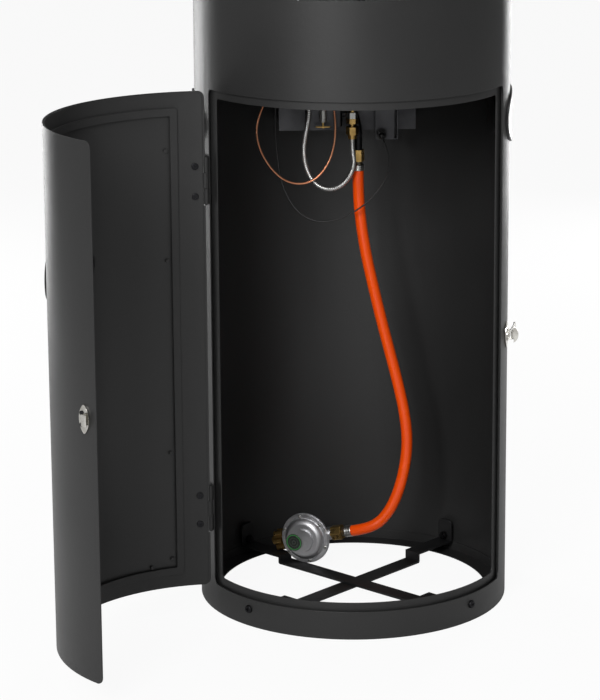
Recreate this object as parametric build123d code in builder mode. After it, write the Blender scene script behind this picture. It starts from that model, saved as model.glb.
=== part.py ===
"""Free-standing outdoor gas heater: a round gas-bottle cabinet with a hinged door,
a gas train hanging inside, and a glass-tube burner section with a rain cap on top.

Frame: millimetres, +Z up, origin on the floor at the cabinet's axis.
-Y is the side with the door, +Y the side with the controls.
An azimuth is measured from -Y towards +X, in degrees.
"""
from build123d import *
import math
import os

os.makedirs("parts", exist_ok=True)

# ---- driving dimensions ------------------------------------------------------------
SHELL_RADIUS = 210.0
SHELL_SHEET = 1.4
SHELL_HEIGHT = 842.0
SEAT = 0.1                    # gap between two curved faces of one body
OPENING_HALF_ANGLE = 66.5
OPENING_BOTTOM = 38.0
OPENING_TOP = 714.0
OPENING_CORNER = 9.0

LIP_SHEET = 1.5
LIP_DEPTH = 6.5               # how far the lip's face stands behind the shell's outside
LIP_HALF_ANGLE = 63.0
LIP_BOTTOM = 49.0
LIP_TOP = 703.0
LIP_LAP = 8.0                 # how far the lip reaches behind the shell's edge

RING_WIDTH = 24.5
RING_SHEET = 1.5
RING_FLANGE = 14.0

DOOR_GAP = 1.3
DOOR_OPEN = 111.0             # the door stands open by this much at rest
HINGE_STANDOFF = 1.0          # between the wall and the hinge's knuckles
HINGE_HEIGHT = 63.0
HINGE_CENTRES = (145.5, 593.5)
KNUCKLE_RADIUS = 3.5
HINGE_PIN_RADIUS = 1.5
PIN_CLEARANCE = 0.05
LEAF_SHEET = 1.3
LEAF_WIDTH = 23.0
HINGE_SCREW_OFFSET = 20.0
SCREW_SHANK_RADIUS = 2.0
SCREW_HEAD_RADIUS = 4.6
SCREW_CLEARANCE = 0.15
SCREW_HEAD_HEIGHT = 2.0
SCREW_INSET = 15.0            # from a hinge's axis to its screws, along the wall

PAN_SHEET = 1.5
PAN_SIDE_ANGLE = 56.0         # outer edge of the door frame's raised bead
PAN_BEAD = 10.0
PAN_BEAD_RISE = 3.2
PAN_BOTTOM = 58.0
PAN_TOP = 692.0

HANDLE_WIDTH = 140.0
HANDLE_HEIGHT = 74.0
HANDLE_RIM = 13.0
HANDLE_PROUD = 3.0
HANDLE_DEPTH = 24.0
HANDLE_WALL = 2.0
SIDE_HANDLE_HEIGHT = 663.0
DOOR_HANDLE_HEIGHT = 507.0

SUPPORT_WIDTH = 24.0
SUPPORT_SHEET = 3.0
SUPPORT_FLAT = 130.0          # half length of the low flat stretch
SUPPORT_FLOOR_GAP = 2.2
SUPPORT_ARM_TOP = 17.5
SUPPORT_BOLT_HEIGHT = 23.5
SUPPORT_END_TOP = 47.0
SUPPORT_BOLT_RADIUS = 3.0

KEEPER_AZIMUTH = 60.6
KEEPER_HEIGHT = 373.0
LATCH_AZIMUTH = 74.6
LATCH_HEIGHT = 371.0
CATCH_LENGTH = 38.0
CATCH_WIDTH = 19.0
CATCH_SHEET = 1.6
CLAW_REACH = 55.4             # from the latch's axis, so that the turned claw covers the keeper's hook
CLAW_WIDTH = 7.0
CLAW_SHEET = 1.4
CLAW_TIP = 3.0
EAR_SHEET = 1.6

TOP_DROP = 4.5                # the top ring stands this far below the shell's edge
TOP_SHEET = 2.0
TOP_SCREW_OFFSET = 3.0

BOX_HALF_WIDTH = 94.0         # control box inside the cabinet
BOX_FRONT = 100.0
BOX_BOTTOM = 624.5
BOX_TOP = 770.0
BOX_SHEET = 1.5
PANEL_HALF_WIDTH = 75.0       # control panel outside the cabinet
PANEL_BOTTOM = 596.0
PANEL_TOP = 728.0
PANEL_PROUD = 7.0
PANEL_SHEET = 2.0
PANEL_CORNER = 10.0

VALVE_X = -33.0
VALVE_Y = 89.0
VALVE_WIDTH = 50.0
VALVE_DEPTH = 21.8
VALVE_BOTTOM = 633.0
VALVE_HEIGHT = 76.0
MAGNET_Y = 69.0               # axis of the safety magnet under the valve's front
OUTLET_X = -54.0              # gas outlet under the valve's front
OUTLET_Y = 71.0

SPINDLE_X = -35.0
SPINDLE_HEIGHT = 690.0
SPINDLE_RADIUS = 4.0
KNOB_RADIUS = 24.0
KNOB_DEPTH = 22.0
IGNITER_X = 45.5
IGNITER_HEIGHT = 620.5
IGNITER_RADIUS = 6.3
BUTTON_RADIUS = 9.0
BUTTON_TRAVEL = 6.0
IGNITER_START = 76.0          # back terminal of the igniter
BRACKET_Y = 86.0
BRACKET_TOP = 690.0

FITTING_X = 5.0               # threaded joint above the flexible burner tube
FITTING_Y = 72.0
FITTING_TOP = 654.0
FLEX_RADIUS = 3.5
COPPER_RADIUS = 1.5
LEAD_RADIUS = 1.15

HOSE_RADIUS = 7.8
HOSE_TOP = (14.0, 88.0, 570.0)
ELBOW_RADIUS = 5.6
FERRULE_WALL = 0.5
HOSE_SPIGOT = 1.6             # wall of the hose over the hollow spigot in it

REGULATOR_X = -62.0
REGULATOR_Y = 78.0
REGULATOR_REST = 0.3          # between the regulator's rim and the bar under it
REGULATOR_YAW = -28.0
REGULATOR_TILT = 14.0
REGULATOR_RADIUS = 36.0
REGULATOR_RIM = 3.2           # from the rim to the ring of screws
REGULATOR_SCREW_RADIUS = 1.5
BONNET_RISE = 10.6
OUTLET_LENGTH = 34.0          # from the regulator's rim to the start of the hose
INLET_SETBACK = 3.0           # the inlet boss ends this far inside the rim
HAND_NUT_GAP = 2.0
PORT_SETBACK = 11.0

BURNER_HOLE_RADIUS = 74.0
BURNER_CUP_DEPTH = 38.0
BURNER_HEAD_RADIUS = 36.0
BURNER_HEAD_HEIGHT = 30.0
HEAD_SHEET = 2.0
HEAD_LIFT = 2.0               # the burner head stands this far above the cup's flange
PIPE_RADIUS = 5.0
PIPE_FIT = 0.2
GLASS_RADIUS = 75.0
GLASS_WALL = 4.0
GLASS_LENGTH = 600.0
GLASS_CLEARANCE = 0.4
COLLAR_HEIGHT = 20.0
COLLAR_FLOOR = 6.0            # between the glass and the plates above and below it
CUP_SHEET = 1.5
CUP_FLANGE = 20.0
POST_RADIUS = 6.0
POST_CIRCLE = 158.0
POST_COUNT = 4
GUARD_RADIUS = 145.0
GUARD_WIRE_RADIUS = 2.0
GUARD_WIRE_COUNT = 24
GUARD_BAND = 12.0
CAP_RADIUS = 200.0
CAP_RISE = 42.0
CAP_GAP = 40.0                # height of the exhaust gap under the cap
CAP_SHEET = 2.0
CAP_LIP = 14.0

# ---- derived dimensions --------------------------------------------------------------
SHELL_INSIDE = SHELL_RADIUS - SHELL_SHEET
FITTED_RADIUS = SHELL_INSIDE - SEAT
RING_INNER_RADIUS = FITTED_RADIUS - RING_WIDTH
HINGE_RADIUS = SHELL_RADIUS + HINGE_STANDOFF + KNUCKLE_RADIUS
LIP_OUTER = SHELL_RADIUS - LIP_DEPTH + LIP_SHEET
LIP_INNER = SHELL_RADIUS - LIP_DEPTH
LIP_LAP_ANGLE = math.degrees(LIP_LAP / SHELL_RADIUS)
DOOR_HALF_ANGLE = OPENING_HALF_ANGLE - math.degrees(DOOR_GAP / SHELL_RADIUS)
DOOR_BOTTOM = OPENING_BOTTOM + DOOR_GAP
DOOR_TOP = OPENING_TOP - DOOR_GAP
HINGE_AZIMUTH = -OPENING_HALF_ANGLE
PAN_OUTER = FITTED_RADIUS
PAN_INNER = PAN_OUTER - PAN_SHEET
OUTSIDE_FITTED = SHELL_RADIUS + SEAT
TOP_RING_TOP = SHELL_HEIGHT - TOP_DROP
TOP_PLATE_BOTTOM = TOP_RING_TOP + SEAT
TOP_PLATE_TOP = TOP_PLATE_BOTTOM + TOP_SHEET
TOP_SCREW_RADIUS = (RING_INNER_RADIUS + SHELL_INSIDE) / 2 - TOP_SCREW_OFFSET
PANEL_FACE = SHELL_RADIUS + PANEL_PROUD
PANEL_OUTSIDE = PANEL_FACE + PANEL_SHEET
SUPPORT_END = math.sqrt((LIP_INNER - SEAT)**2 - (SUPPORT_WIDTH / 2)**2)
BOX_BACK = math.sqrt(SHELL_INSIDE**2 - BOX_HALF_WIDTH**2) - SEAT
BURNER_TOP = TOP_PLATE_TOP + CUP_SHEET
GLASS_BOTTOM = BURNER_TOP + COLLAR_FLOOR
GLASS_TOP = GLASS_BOTTOM + GLASS_LENGTH
DECK_BOTTOM = GLASS_TOP + COLLAR_FLOOR
DECK_TOP = DECK_BOTTOM + TOP_SHEET
CAP_BOTTOM = DECK_TOP + CAP_GAP
BAR_TOP = SUPPORT_FLOOR_GAP + 2 * SUPPORT_SHEET + SEAT
REGULATOR_CENTRE = (REGULATOR_X, REGULATOR_Y, BAR_TOP + REGULATOR_REST + REGULATOR_RADIUS)
REGULATOR_SCREW_CIRCLE = REGULATOR_RADIUS - REGULATOR_RIM
OUTLET_REACH = REGULATOR_RADIUS + OUTLET_LENGTH
INLET_REACH = REGULATOR_RADIUS - INLET_SETBACK


def polar(radius, azimuth, height=0.0):
    """Point at a radius and an azimuth from the door's side."""
    angle = math.radians(azimuth)
    return Vector(radius * math.sin(angle), -radius * math.cos(angle), height)


def wall_plane(azimuth, height, radius=0.0):
    """Plane facing outward: local x follows the wall, local y is up."""
    angle = math.radians(azimuth)
    return Plane(
        origin=polar(radius, azimuth, height),
        x_dir=(math.cos(angle), math.sin(angle), 0),
        z_dir=(math.sin(angle), -math.cos(angle), 0),
    )


def back_plane(x, y, z):
    """Plane at a point, facing the controls' side."""
    return Plane(origin=(x, y, z), x_dir=(1, 0, 0), z_dir=(0, 1, 0))


def wall_block(inner, outer, from_azimuth, to_azimuth, bottom, top, corner=0.0):
    """Piece of a round wall between two radii, two azimuths and two heights."""
    middle = (from_azimuth + to_azimuth) / 2
    with BuildPart() as block:
        with BuildSketch(Plane.XY.offset(bottom)):
            with BuildLine():
                ThreePointArc(polar(outer, from_azimuth), polar(outer, middle), polar(outer, to_azimuth))
                Line(polar(outer, to_azimuth), polar(inner, to_azimuth))
                ThreePointArc(polar(inner, to_azimuth), polar(inner, middle), polar(inner, from_azimuth))
                Line(polar(inner, from_azimuth), polar(outer, from_azimuth))
            make_face()
        extrude(amount=top - bottom)
        if corner:
            straight = block.edges().filter_by(GeomType.LINE)
            radial = straight.filter_by(lambda edge: abs((edge % 0.5).Z) < 0.5)
            fillet(radial, corner)
    return block.part


def ring(inner, outer, bottom, top):
    """Plain ring about the cabinet's axis."""
    with BuildPart() as band:
        with BuildSketch(Plane.XY.offset(bottom)):
            Circle(outer)
            Circle(inner, mode=Mode.SUBTRACT)
        extrude(amount=top - bottom)
    return band.part


def rod(plane, radius, length, start=0.0):
    """Round bar along a plane's normal."""
    with BuildPart() as bar:
        with BuildSketch(plane.offset(start)):
            Circle(radius)
        extrude(amount=length)
    return bar.part


def hexagon(plane, across_flats, length, bore, start=0.0):
    """Hexagon nut along a plane's normal, with its corners chamfered."""
    with BuildPart() as nut:
        with BuildSketch(plane.offset(start)):
            RegularPolygon(across_flats / 2, 6, major_radius=False)
            Circle(bore, mode=Mode.SUBTRACT)
        extrude(amount=length)
        with BuildSketch(plane.offset(start)):
            Circle(across_flats * 0.56)
        extrude(amount=length, mode=Mode.INTERSECT)
    return nut.part


def pan_screw(plane, head_radius, head_height, shank_radius, shank_length):
    """Pan-head screw: the head stands on the plane and the shank goes back from it."""
    with BuildPart() as screw:
        with BuildSketch(plane):
            Circle(head_radius)
        extrude(amount=head_height)
        crown = screw.faces().sort_by(Axis(plane.origin, plane.z_dir))[-1]
        fillet(crown.edges(), head_height * 0.6)
        with BuildSketch(plane.offset(head_height)):
            Rectangle(head_radius * 1.1, head_radius * 0.22)
            Rectangle(head_radius * 0.22, head_radius * 1.1)
        extrude(amount=-head_height * 0.55, mode=Mode.SUBTRACT)
        with BuildSketch(plane):
            Circle(shank_radius)
        extrude(amount=-shank_length)
    return screw.part


def corner_radii(points):
    """Largest arc that each corner's two runs allow."""
    radii = []
    for before, here, after in zip(points, points[1:], points[2:]):
        run_in = here - before
        run_out = after - here
        turn = math.radians(run_in.get_angle(run_out))
        radii.append(0.45 * min(run_in.length, run_out.length) / math.tan(turn / 2))
    return radii


def tube_along(name, points, radius):
    """Round tube, cord or wire along straight runs joined by tangent arcs."""
    route = [Vector(*point) for point in points]
    radii = corner_radii(route)
    with BuildPart() as tube:
        with BuildLine():
            path = FilletPolyline(*route, radius=radii)
        with BuildSketch(Plane(origin=path @ 0, z_dir=path % 0)):
            Circle(radius)
        sweep(path=path)
    expected = math.pi * radius**2 * path.length
    smallest = min(radii)
    print(f"{name}: length {path.length:.0f} mm, smallest radius {smallest:.0f} mm,"
          f" volume ratio {tube.part.volume / expected:.4f}")
    return tube.part


HINGE_POINT = polar(HINGE_RADIUS, HINGE_AZIMUTH)
HINGE_AXIS = Axis(HINGE_POINT, (0, 0, 1))


def swing(piece):
    """Turn a piece made on the shut door to the door's resting angle."""
    return piece.rotate(HINGE_AXIS, -DOOR_OPEN)


def save(name, piece):
    """Label a finished piece and write it."""
    piece.label = name
    export_step(piece, f"parts/{name}.step")


def group(pieces):
    """Several separate solids written as one node."""
    return Compound(children=list(pieces))


# ---- cup handles ---------------------------------------------------------------------
def cup_handle(azimuth, height):
    """Oval recessed hand grip whose rim follows the wall."""
    cup_width = HANDLE_WIDTH - 2 * HANDLE_RIM
    cup_height = HANDLE_HEIGHT - 2 * HANDLE_RIM
    face = wall_plane(azimuth, height)
    floor = SHELL_RADIUS - HANDLE_DEPTH
    low, high = height - HANDLE_HEIGHT, height + HANDLE_HEIGHT
    outside = ring(OUTSIDE_FITTED, SHELL_RADIUS + HANDLE_PROUD, low, high)
    inside = ring(1.0, SHELL_RADIUS + HANDLE_PROUD, low, high)
    with BuildPart() as rim:
        with BuildSketch(face.offset(floor)):
            Ellipse(HANDLE_WIDTH / 2, HANDLE_HEIGHT / 2)
        extrude(amount=2 * HANDLE_DEPTH)
        add(outside, mode=Mode.INTERSECT)
    with BuildPart() as handle:
        with BuildSketch(face.offset(floor)):
            Ellipse(cup_width / 2, cup_height / 2)
        extrude(amount=2 * HANDLE_DEPTH)
        add(inside, mode=Mode.INTERSECT)
        add(rim.part)
        with BuildSketch(face.offset(floor + HANDLE_WALL)):
            Ellipse(cup_width / 2 - HANDLE_WALL, cup_height / 2 - HANDLE_WALL)
        extrude(amount=2 * HANDLE_DEPTH, mode=Mode.SUBTRACT)
    return handle.part


def wall_hole(azimuth, height, radius):
    """Clearance hole through the wall for a screw of that radius."""
    return rod(wall_plane(azimuth, height, SHELL_RADIUS - 5), radius + SCREW_CLEARANCE, 10.0)


def handle_hole(azimuth, height):
    """Hole in a wall for a cup handle's body."""
    half_width = HANDLE_WIDTH / 2 - HANDLE_RIM + SEAT
    half_height = HANDLE_HEIGHT / 2 - HANDLE_RIM + SEAT
    with BuildPart() as hole:
        with BuildSketch(wall_plane(azimuth, height, SHELL_RADIUS - HANDLE_DEPTH)):
            Ellipse(half_width, half_height)
        extrude(amount=2 * HANDLE_DEPTH)
    return hole.part


# ---- places of the fasteners -----------------------------------------------------------
SUPPORT_AZIMUTHS = (-135.0, -45.0, 45.0, 135.0)
HINGE_SCREW_HEIGHTS = [centre + side * HINGE_SCREW_OFFSET
                       for centre in HINGE_CENTRES for side in (-1, 1)]
SCREW_ANGLE = math.degrees(SCREW_INSET / SHELL_RADIUS)
DOOR_SCREW_AZIMUTH = HINGE_AZIMUTH + SCREW_ANGLE
BODY_SCREW_AZIMUTH = HINGE_AZIMUTH - SCREW_ANGLE
TOP_SCREW_AZIMUTHS = (0.0, 90.0, 180.0, 270.0)
POST_AZIMUTHS = [45.0 + index * 360.0 / POST_COUNT for index in range(POST_COUNT)]

spindle_hole = rod(back_plane(SPINDLE_X, 0, SPINDLE_HEIGHT), SPINDLE_RADIUS + 1.0, 300.0)
button_hole = rod(back_plane(IGNITER_X, 0, IGNITER_HEIGHT), BUTTON_RADIUS * 0.4, 300.0)
igniter_hole = rod(back_plane(IGNITER_X, 0, IGNITER_HEIGHT), IGNITER_RADIUS + 1.5, 130.0)


# ---- cabinet -----------------------------------------------------------------------------
def build_cabinet():
    """Shell, its rings, the lip behind the door opening, and the two side handles."""
    opening = wall_block(SHELL_INSIDE - 2, SHELL_RADIUS + 2, -OPENING_HALF_ANGLE, OPENING_HALF_ANGLE,
                         OPENING_BOTTOM, OPENING_TOP, OPENING_CORNER)
    with BuildPart() as outer_shell:
        with BuildSketch():
            Circle(SHELL_RADIUS)
            Circle(SHELL_INSIDE, mode=Mode.SUBTRACT)
        extrude(amount=SHELL_HEIGHT)
        add(opening, mode=Mode.SUBTRACT)
        for azimuth in (-90.0, 90.0):
            add(handle_hole(azimuth, SIDE_HANDLE_HEIGHT), mode=Mode.SUBTRACT)
        for azimuth in SUPPORT_AZIMUTHS:
            add(wall_hole(azimuth, SUPPORT_BOLT_HEIGHT, SUPPORT_BOLT_RADIUS), mode=Mode.SUBTRACT)
        for height in HINGE_SCREW_HEIGHTS:
            add(wall_hole(BODY_SCREW_AZIMUTH, height, SCREW_SHANK_RADIUS), mode=Mode.SUBTRACT)
        add(spindle_hole, mode=Mode.SUBTRACT)
        add(button_hole, mode=Mode.SUBTRACT)
    save("outer_shell", outer_shell.part)

    lip_side = OPENING_HALF_ANGLE + LIP_LAP_ANGLE
    web_angle = math.degrees(LIP_SHEET / SHELL_RADIUS)
    with BuildPart() as opening_frame:
        add(wall_block(LIP_INNER, FITTED_RADIUS, -lip_side, lip_side,
                       OPENING_BOTTOM - LIP_LAP, OPENING_TOP + LIP_LAP))
        add(wall_block(LIP_OUTER, SHELL_RADIUS, -lip_side + web_angle, lip_side - web_angle,
                       OPENING_BOTTOM - LIP_LAP + LIP_SHEET, OPENING_TOP + LIP_LAP - LIP_SHEET),
            mode=Mode.SUBTRACT)
        add(wall_block(LIP_INNER - 2, LIP_OUTER + 2, -LIP_HALF_ANGLE, LIP_HALF_ANGLE,
                       LIP_BOTTOM, LIP_TOP, OPENING_CORNER * 0.7), mode=Mode.SUBTRACT)
    save("opening_frame", opening_frame.part)

    with BuildPart() as base_ring:
        add(ring(RING_INNER_RADIUS, FITTED_RADIUS, 0.0, RING_SHEET))
        add(ring(FITTED_RADIUS - RING_SHEET, FITTED_RADIUS, 0.0, RING_FLANGE))
    save("base_ring", base_ring.part)

    with BuildPart() as top_ring:
        add(ring(RING_INNER_RADIUS, FITTED_RADIUS, TOP_RING_TOP - RING_SHEET, TOP_RING_TOP))
        add(ring(FITTED_RADIUS - RING_SHEET, FITTED_RADIUS, TOP_RING_TOP - RING_FLANGE, TOP_RING_TOP))
        for azimuth in TOP_SCREW_AZIMUTHS:
            with BuildSketch(Plane(polar(TOP_SCREW_RADIUS, azimuth, TOP_RING_TOP + 5))):
                Circle(SCREW_SHANK_RADIUS + SCREW_CLEARANCE)
            extrude(amount=-10.0, mode=Mode.SUBTRACT)
    save("top_ring", top_ring.part)

    save("side_handles", group([cup_handle(azimuth, SIDE_HANDLE_HEIGHT) for azimuth in (-90.0, 90.0)]))


def support_bar(azimuth, rest_height):
    """Flat bar across the cabinet whose ends step up and bolt to the wall."""
    wall = SUPPORT_END
    sheet = SUPPORT_SHEET
    reach = SUPPORT_FLAT
    low = rest_height
    high = SUPPORT_ARM_TOP
    with BuildPart() as bar:
        with BuildSketch(Plane.XZ.offset(-SUPPORT_WIDTH / 2)):
            with BuildLine():
                half = [(0, low), (reach, low), (reach, high - sheet), (wall, high - sheet),
                        (wall, SUPPORT_END_TOP), (wall - sheet, SUPPORT_END_TOP), (wall - sheet, high),
                        (reach - sheet, high), (reach - sheet, low + sheet), (0, low + sheet)]
                mirrored = [(-x, z) for x, z in reversed(half)]
                Polyline(*half, *mirrored[1:-1], close=True)
            make_face()
        extrude(amount=SUPPORT_WIDTH)
        bends = bar.edges().filter_by(Axis.Y).filter_by_position(Axis.Z, low - 1, high + 1)
        outer_bends = [edge for edge in bends
                       if abs(edge.center().X) > reach - 1 and edge.center().Z < low + 1]
        fillet(outer_bends, sheet * 0.9)
        top = SUPPORT_END_TOP
        tips = bar.edges().filter_by(Axis.X).filter_by_position(Axis.Z, top - 1, top + 1)
        fillet(tips, SUPPORT_WIDTH * 0.3)
        with BuildSketch(Plane.YZ.offset(-SHELL_RADIUS)):
            with Locations((0, SUPPORT_BOLT_HEIGHT)):
                Circle(SUPPORT_BOLT_RADIUS + SCREW_CLEARANCE)
        extrude(amount=2 * SHELL_RADIUS, mode=Mode.SUBTRACT)
    return bar.part.rotate(Axis.Z, azimuth - 90.0)


def build_support():
    """Crossed flat bars that carry the gas bottle, with their bolts."""
    save("lower_support_bar", support_bar(SUPPORT_AZIMUTHS[3], SUPPORT_FLOOR_GAP))
    save("upper_support_bar", support_bar(SUPPORT_AZIMUTHS[2], SUPPORT_FLOOR_GAP + SUPPORT_SHEET + SEAT))
    inner_face = SUPPORT_END - SUPPORT_SHEET
    screws = []
    spacers = []
    nuts = []
    for azimuth in SUPPORT_AZIMUTHS:
        seat = wall_plane(azimuth, SUPPORT_BOLT_HEIGHT, SHELL_RADIUS + 0.2)
        screws.append(pan_screw(seat, 5.5, 3.0, SUPPORT_BOLT_RADIUS, SHELL_RADIUS - inner_face + 7.5))
        tube = wall_plane(azimuth, SUPPORT_BOLT_HEIGHT, SUPPORT_END + SEAT)
        with BuildPart() as spacer:
            with BuildSketch(tube):
                Circle(SUPPORT_BOLT_RADIUS + 2.2)
                Circle(SUPPORT_BOLT_RADIUS + SCREW_CLEARANCE, mode=Mode.SUBTRACT)
            extrude(amount=FITTED_RADIUS - SEAT - SUPPORT_END - SEAT)
        spacers.append(spacer.part)
        nut_plane = wall_plane(azimuth, SUPPORT_BOLT_HEIGHT, inner_face - 5.6)
        nuts.append(hexagon(nut_plane, 10.0, 5.4, SUPPORT_BOLT_RADIUS + SCREW_CLEARANCE))
    save("support_fasteners", group(screws + spacers + nuts))


# ---- door ----------------------------------------------------------------------------------
def build_door():
    """Door skin, its stiffening frame, grip and weld studs."""
    with BuildPart() as door_skin:
        add(wall_block(SHELL_INSIDE, SHELL_RADIUS, -DOOR_HALF_ANGLE, DOOR_HALF_ANGLE,
                       DOOR_BOTTOM, DOOR_TOP, OPENING_CORNER))
        add(handle_hole(0.0, DOOR_HANDLE_HEIGHT), mode=Mode.SUBTRACT)
        notch = math.degrees(2.4 / SHELL_RADIUS)
        for centre in HINGE_CENTRES:
            add(wall_block(SHELL_INSIDE - 1, SHELL_RADIUS + 1,
                           -DOOR_HALF_ANGLE - notch, -DOOR_HALF_ANGLE + notch,
                           centre - HINGE_HEIGHT / 2 - 1, centre + HINGE_HEIGHT / 2 + 1),
                mode=Mode.SUBTRACT)
        for height in HINGE_SCREW_HEIGHTS:
            add(wall_hole(DOOR_SCREW_AZIMUTH, height, SCREW_SHANK_RADIUS), mode=Mode.SUBTRACT)
    save("door_skin", swing(door_skin.part))

    web_angle = math.degrees(PAN_SHEET / SHELL_RADIUS)
    bead_angle = math.degrees(PAN_BEAD / SHELL_RADIUS)
    edge_angle = DOOR_HALF_ANGLE - 0.9
    with BuildPart() as door_frame:
        add(wall_block(PAN_INNER, PAN_OUTER, -edge_angle, edge_angle, DOOR_BOTTOM + 1, DOOR_TOP - 1,
                       OPENING_CORNER - 1))
        add(wall_block(PAN_INNER - PAN_BEAD_RISE, PAN_INNER + 0.1, -PAN_SIDE_ANGLE, PAN_SIDE_ANGLE,
                       PAN_BOTTOM, PAN_TOP, 3.0))
        add(wall_block(PAN_INNER - PAN_BEAD_RISE + PAN_SHEET, SHELL_RADIUS, -PAN_SIDE_ANGLE + web_angle,
                       PAN_SIDE_ANGLE - web_angle, PAN_BOTTOM + PAN_SHEET, PAN_TOP - PAN_SHEET, 2.0),
            mode=Mode.SUBTRACT)
        add(wall_block(PAN_INNER - PAN_BEAD_RISE - 1, SHELL_RADIUS, -PAN_SIDE_ANGLE + bead_angle,
                       PAN_SIDE_ANGLE - bead_angle, PAN_BOTTOM + PAN_BEAD, PAN_TOP - PAN_BEAD, 2.0),
            mode=Mode.SUBTRACT)
        for height in HINGE_SCREW_HEIGHTS:
            add(wall_hole(DOOR_SCREW_AZIMUTH, height, SCREW_SHANK_RADIUS), mode=Mode.SUBTRACT)
    save("door_frame", swing(door_frame.part))
    save("door_handle", swing(cup_handle(0.0, DOOR_HANDLE_HEIGHT)))

    studs = []
    stud_side = PAN_SIDE_ANGLE - bead_angle - 1.6
    stud_places = [(side * stud_side, height) for side in (-1, 1) for height in (80.0, 228.0, 490.0, 636.0)]
    stud_places += [(side * 43.5, PAN_BOTTOM + PAN_BEAD + 4.0) for side in (-1, 1)]
    for azimuth, height in stud_places:
        studs.append(rod(wall_plane(azimuth, height, FITTED_RADIUS - 3.4), 2.6, 3.4))
    save("door_weld_studs", swing(group(studs)))


def hinge_leaf(side, centre, knuckles):
    """One hinge leaf: curved plate on the wall, with the knuckles it carries."""
    start = HINGE_AZIMUTH + side * math.degrees(4.6 / SHELL_RADIUS)
    end = HINGE_AZIMUTH + side * math.degrees(LEAF_WIDTH / SHELL_RADIUS)
    low, high = min(start, end), max(start, end)
    screw_azimuth = HINGE_AZIMUTH + side * SCREW_ANGLE
    with BuildPart() as leaf:
        add(wall_block(OUTSIDE_FITTED, OUTSIDE_FITTED + LEAF_SHEET, low, high,
                       centre - HINGE_HEIGHT / 2, centre + HINGE_HEIGHT / 2))
        for bottom, top in knuckles:
            arm_low, arm_high = min(HINGE_AZIMUTH, start), max(HINGE_AZIMUTH, start)
            add(wall_block(OUTSIDE_FITTED, OUTSIDE_FITTED + LEAF_SHEET,
                           arm_low - 0.05, arm_high + 0.05, bottom, top))
            with BuildSketch(Plane(HINGE_POINT + Vector(0, 0, bottom))):
                Circle(KNUCKLE_RADIUS)
            extrude(amount=top - bottom)
        with BuildSketch(Plane(HINGE_POINT + Vector(0, 0, centre - HINGE_HEIGHT))):
            Circle(HINGE_PIN_RADIUS + PIN_CLEARANCE)
        extrude(amount=2 * HINGE_HEIGHT, mode=Mode.SUBTRACT)
        for offset in (-HINGE_SCREW_OFFSET, HINGE_SCREW_OFFSET):
            add(wall_hole(screw_azimuth, centre + offset, SCREW_SHANK_RADIUS), mode=Mode.SUBTRACT)
    return leaf.part


def build_hinges():
    """Two pinned hinges: leaves on the cabinet, leaves on the door, pins and screws."""
    body_leaves = []
    door_leaves = []
    pins = []
    third = HINGE_HEIGHT / 3
    for centre in HINGE_CENTRES:
        bottom = centre - HINGE_HEIGHT / 2
        outer_knuckles = [(bottom, bottom + third), (bottom + 2 * third, bottom + 3 * third)]
        middle_knuckle = [(bottom + third + 0.3, bottom + 2 * third - 0.3)]
        body_leaves.append(hinge_leaf(-1, centre, outer_knuckles))
        door_leaves.append(hinge_leaf(1, centre, middle_knuckle))
        foot = Plane(HINGE_POINT + Vector(0, 0, bottom - 1.2))
        with BuildPart() as pin:
            with BuildSketch(foot):
                Circle(HINGE_PIN_RADIUS)
            extrude(amount=HINGE_HEIGHT + 2.4)
            with BuildSketch(foot.offset(HINGE_HEIGHT + 1.4)):
                Circle(HINGE_PIN_RADIUS * 1.6)
            extrude(amount=1.2)
        pins.append(pin.part)
    save("cabinet_hinge_leaves", group(body_leaves))
    save("door_hinge_leaves", swing(group(door_leaves)))
    save("hinge_pins", group(pins))

    door_screws = []
    body_screws = []
    leaf_outside = OUTSIDE_FITTED + LEAF_SHEET
    for height in HINGE_SCREW_HEIGHTS:
        inward = wall_plane(DOOR_SCREW_AZIMUTH, height, PAN_INNER - SEAT)
        facing_in = Plane(origin=inward.origin, x_dir=inward.x_dir, z_dir=-inward.z_dir)
        door_screws.append(pan_screw(facing_in, SCREW_HEAD_RADIUS, 1.6, SCREW_SHANK_RADIUS,
                                     leaf_outside - PAN_INNER + 0.8))
        outward = wall_plane(BODY_SCREW_AZIMUTH, height, leaf_outside + SEAT)
        body_screws.append(pan_screw(outward, SCREW_HEAD_RADIUS, SCREW_HEAD_HEIGHT, SCREW_SHANK_RADIUS, 7.0))
    save("door_hinge_screws", swing(group(door_screws)))
    top_screws = []
    for azimuth in TOP_SCREW_AZIMUTHS:
        seat = Plane(polar(TOP_SCREW_RADIUS, azimuth, TOP_PLATE_TOP + 0.05))
        top_screws.append(pan_screw(seat, SCREW_HEAD_RADIUS, 2.4, SCREW_SHANK_RADIUS, 7.0))
    save("cabinet_screws", group(body_screws + top_screws))


# ---- twist latch and its keeper ----------------------------------------------------------
def pointed_plate(face):
    """Pointed oval plate with two screw holes, lying on the tangent plane."""
    with BuildPart() as plate:
        with BuildSketch(face):
            with BuildLine():
                ThreePointArc((0, CATCH_LENGTH / 2), (CATCH_WIDTH / 2, 0), (0, -CATCH_LENGTH / 2))
                ThreePointArc((0, -CATCH_LENGTH / 2), (-CATCH_WIDTH / 2, 0), (0, CATCH_LENGTH / 2))
            make_face()
        extrude(amount=CATCH_SHEET)
        fillet(plate.edges().filter_by(Axis(face.origin, face.z_dir)), 3.0)
    return plate.part


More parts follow.
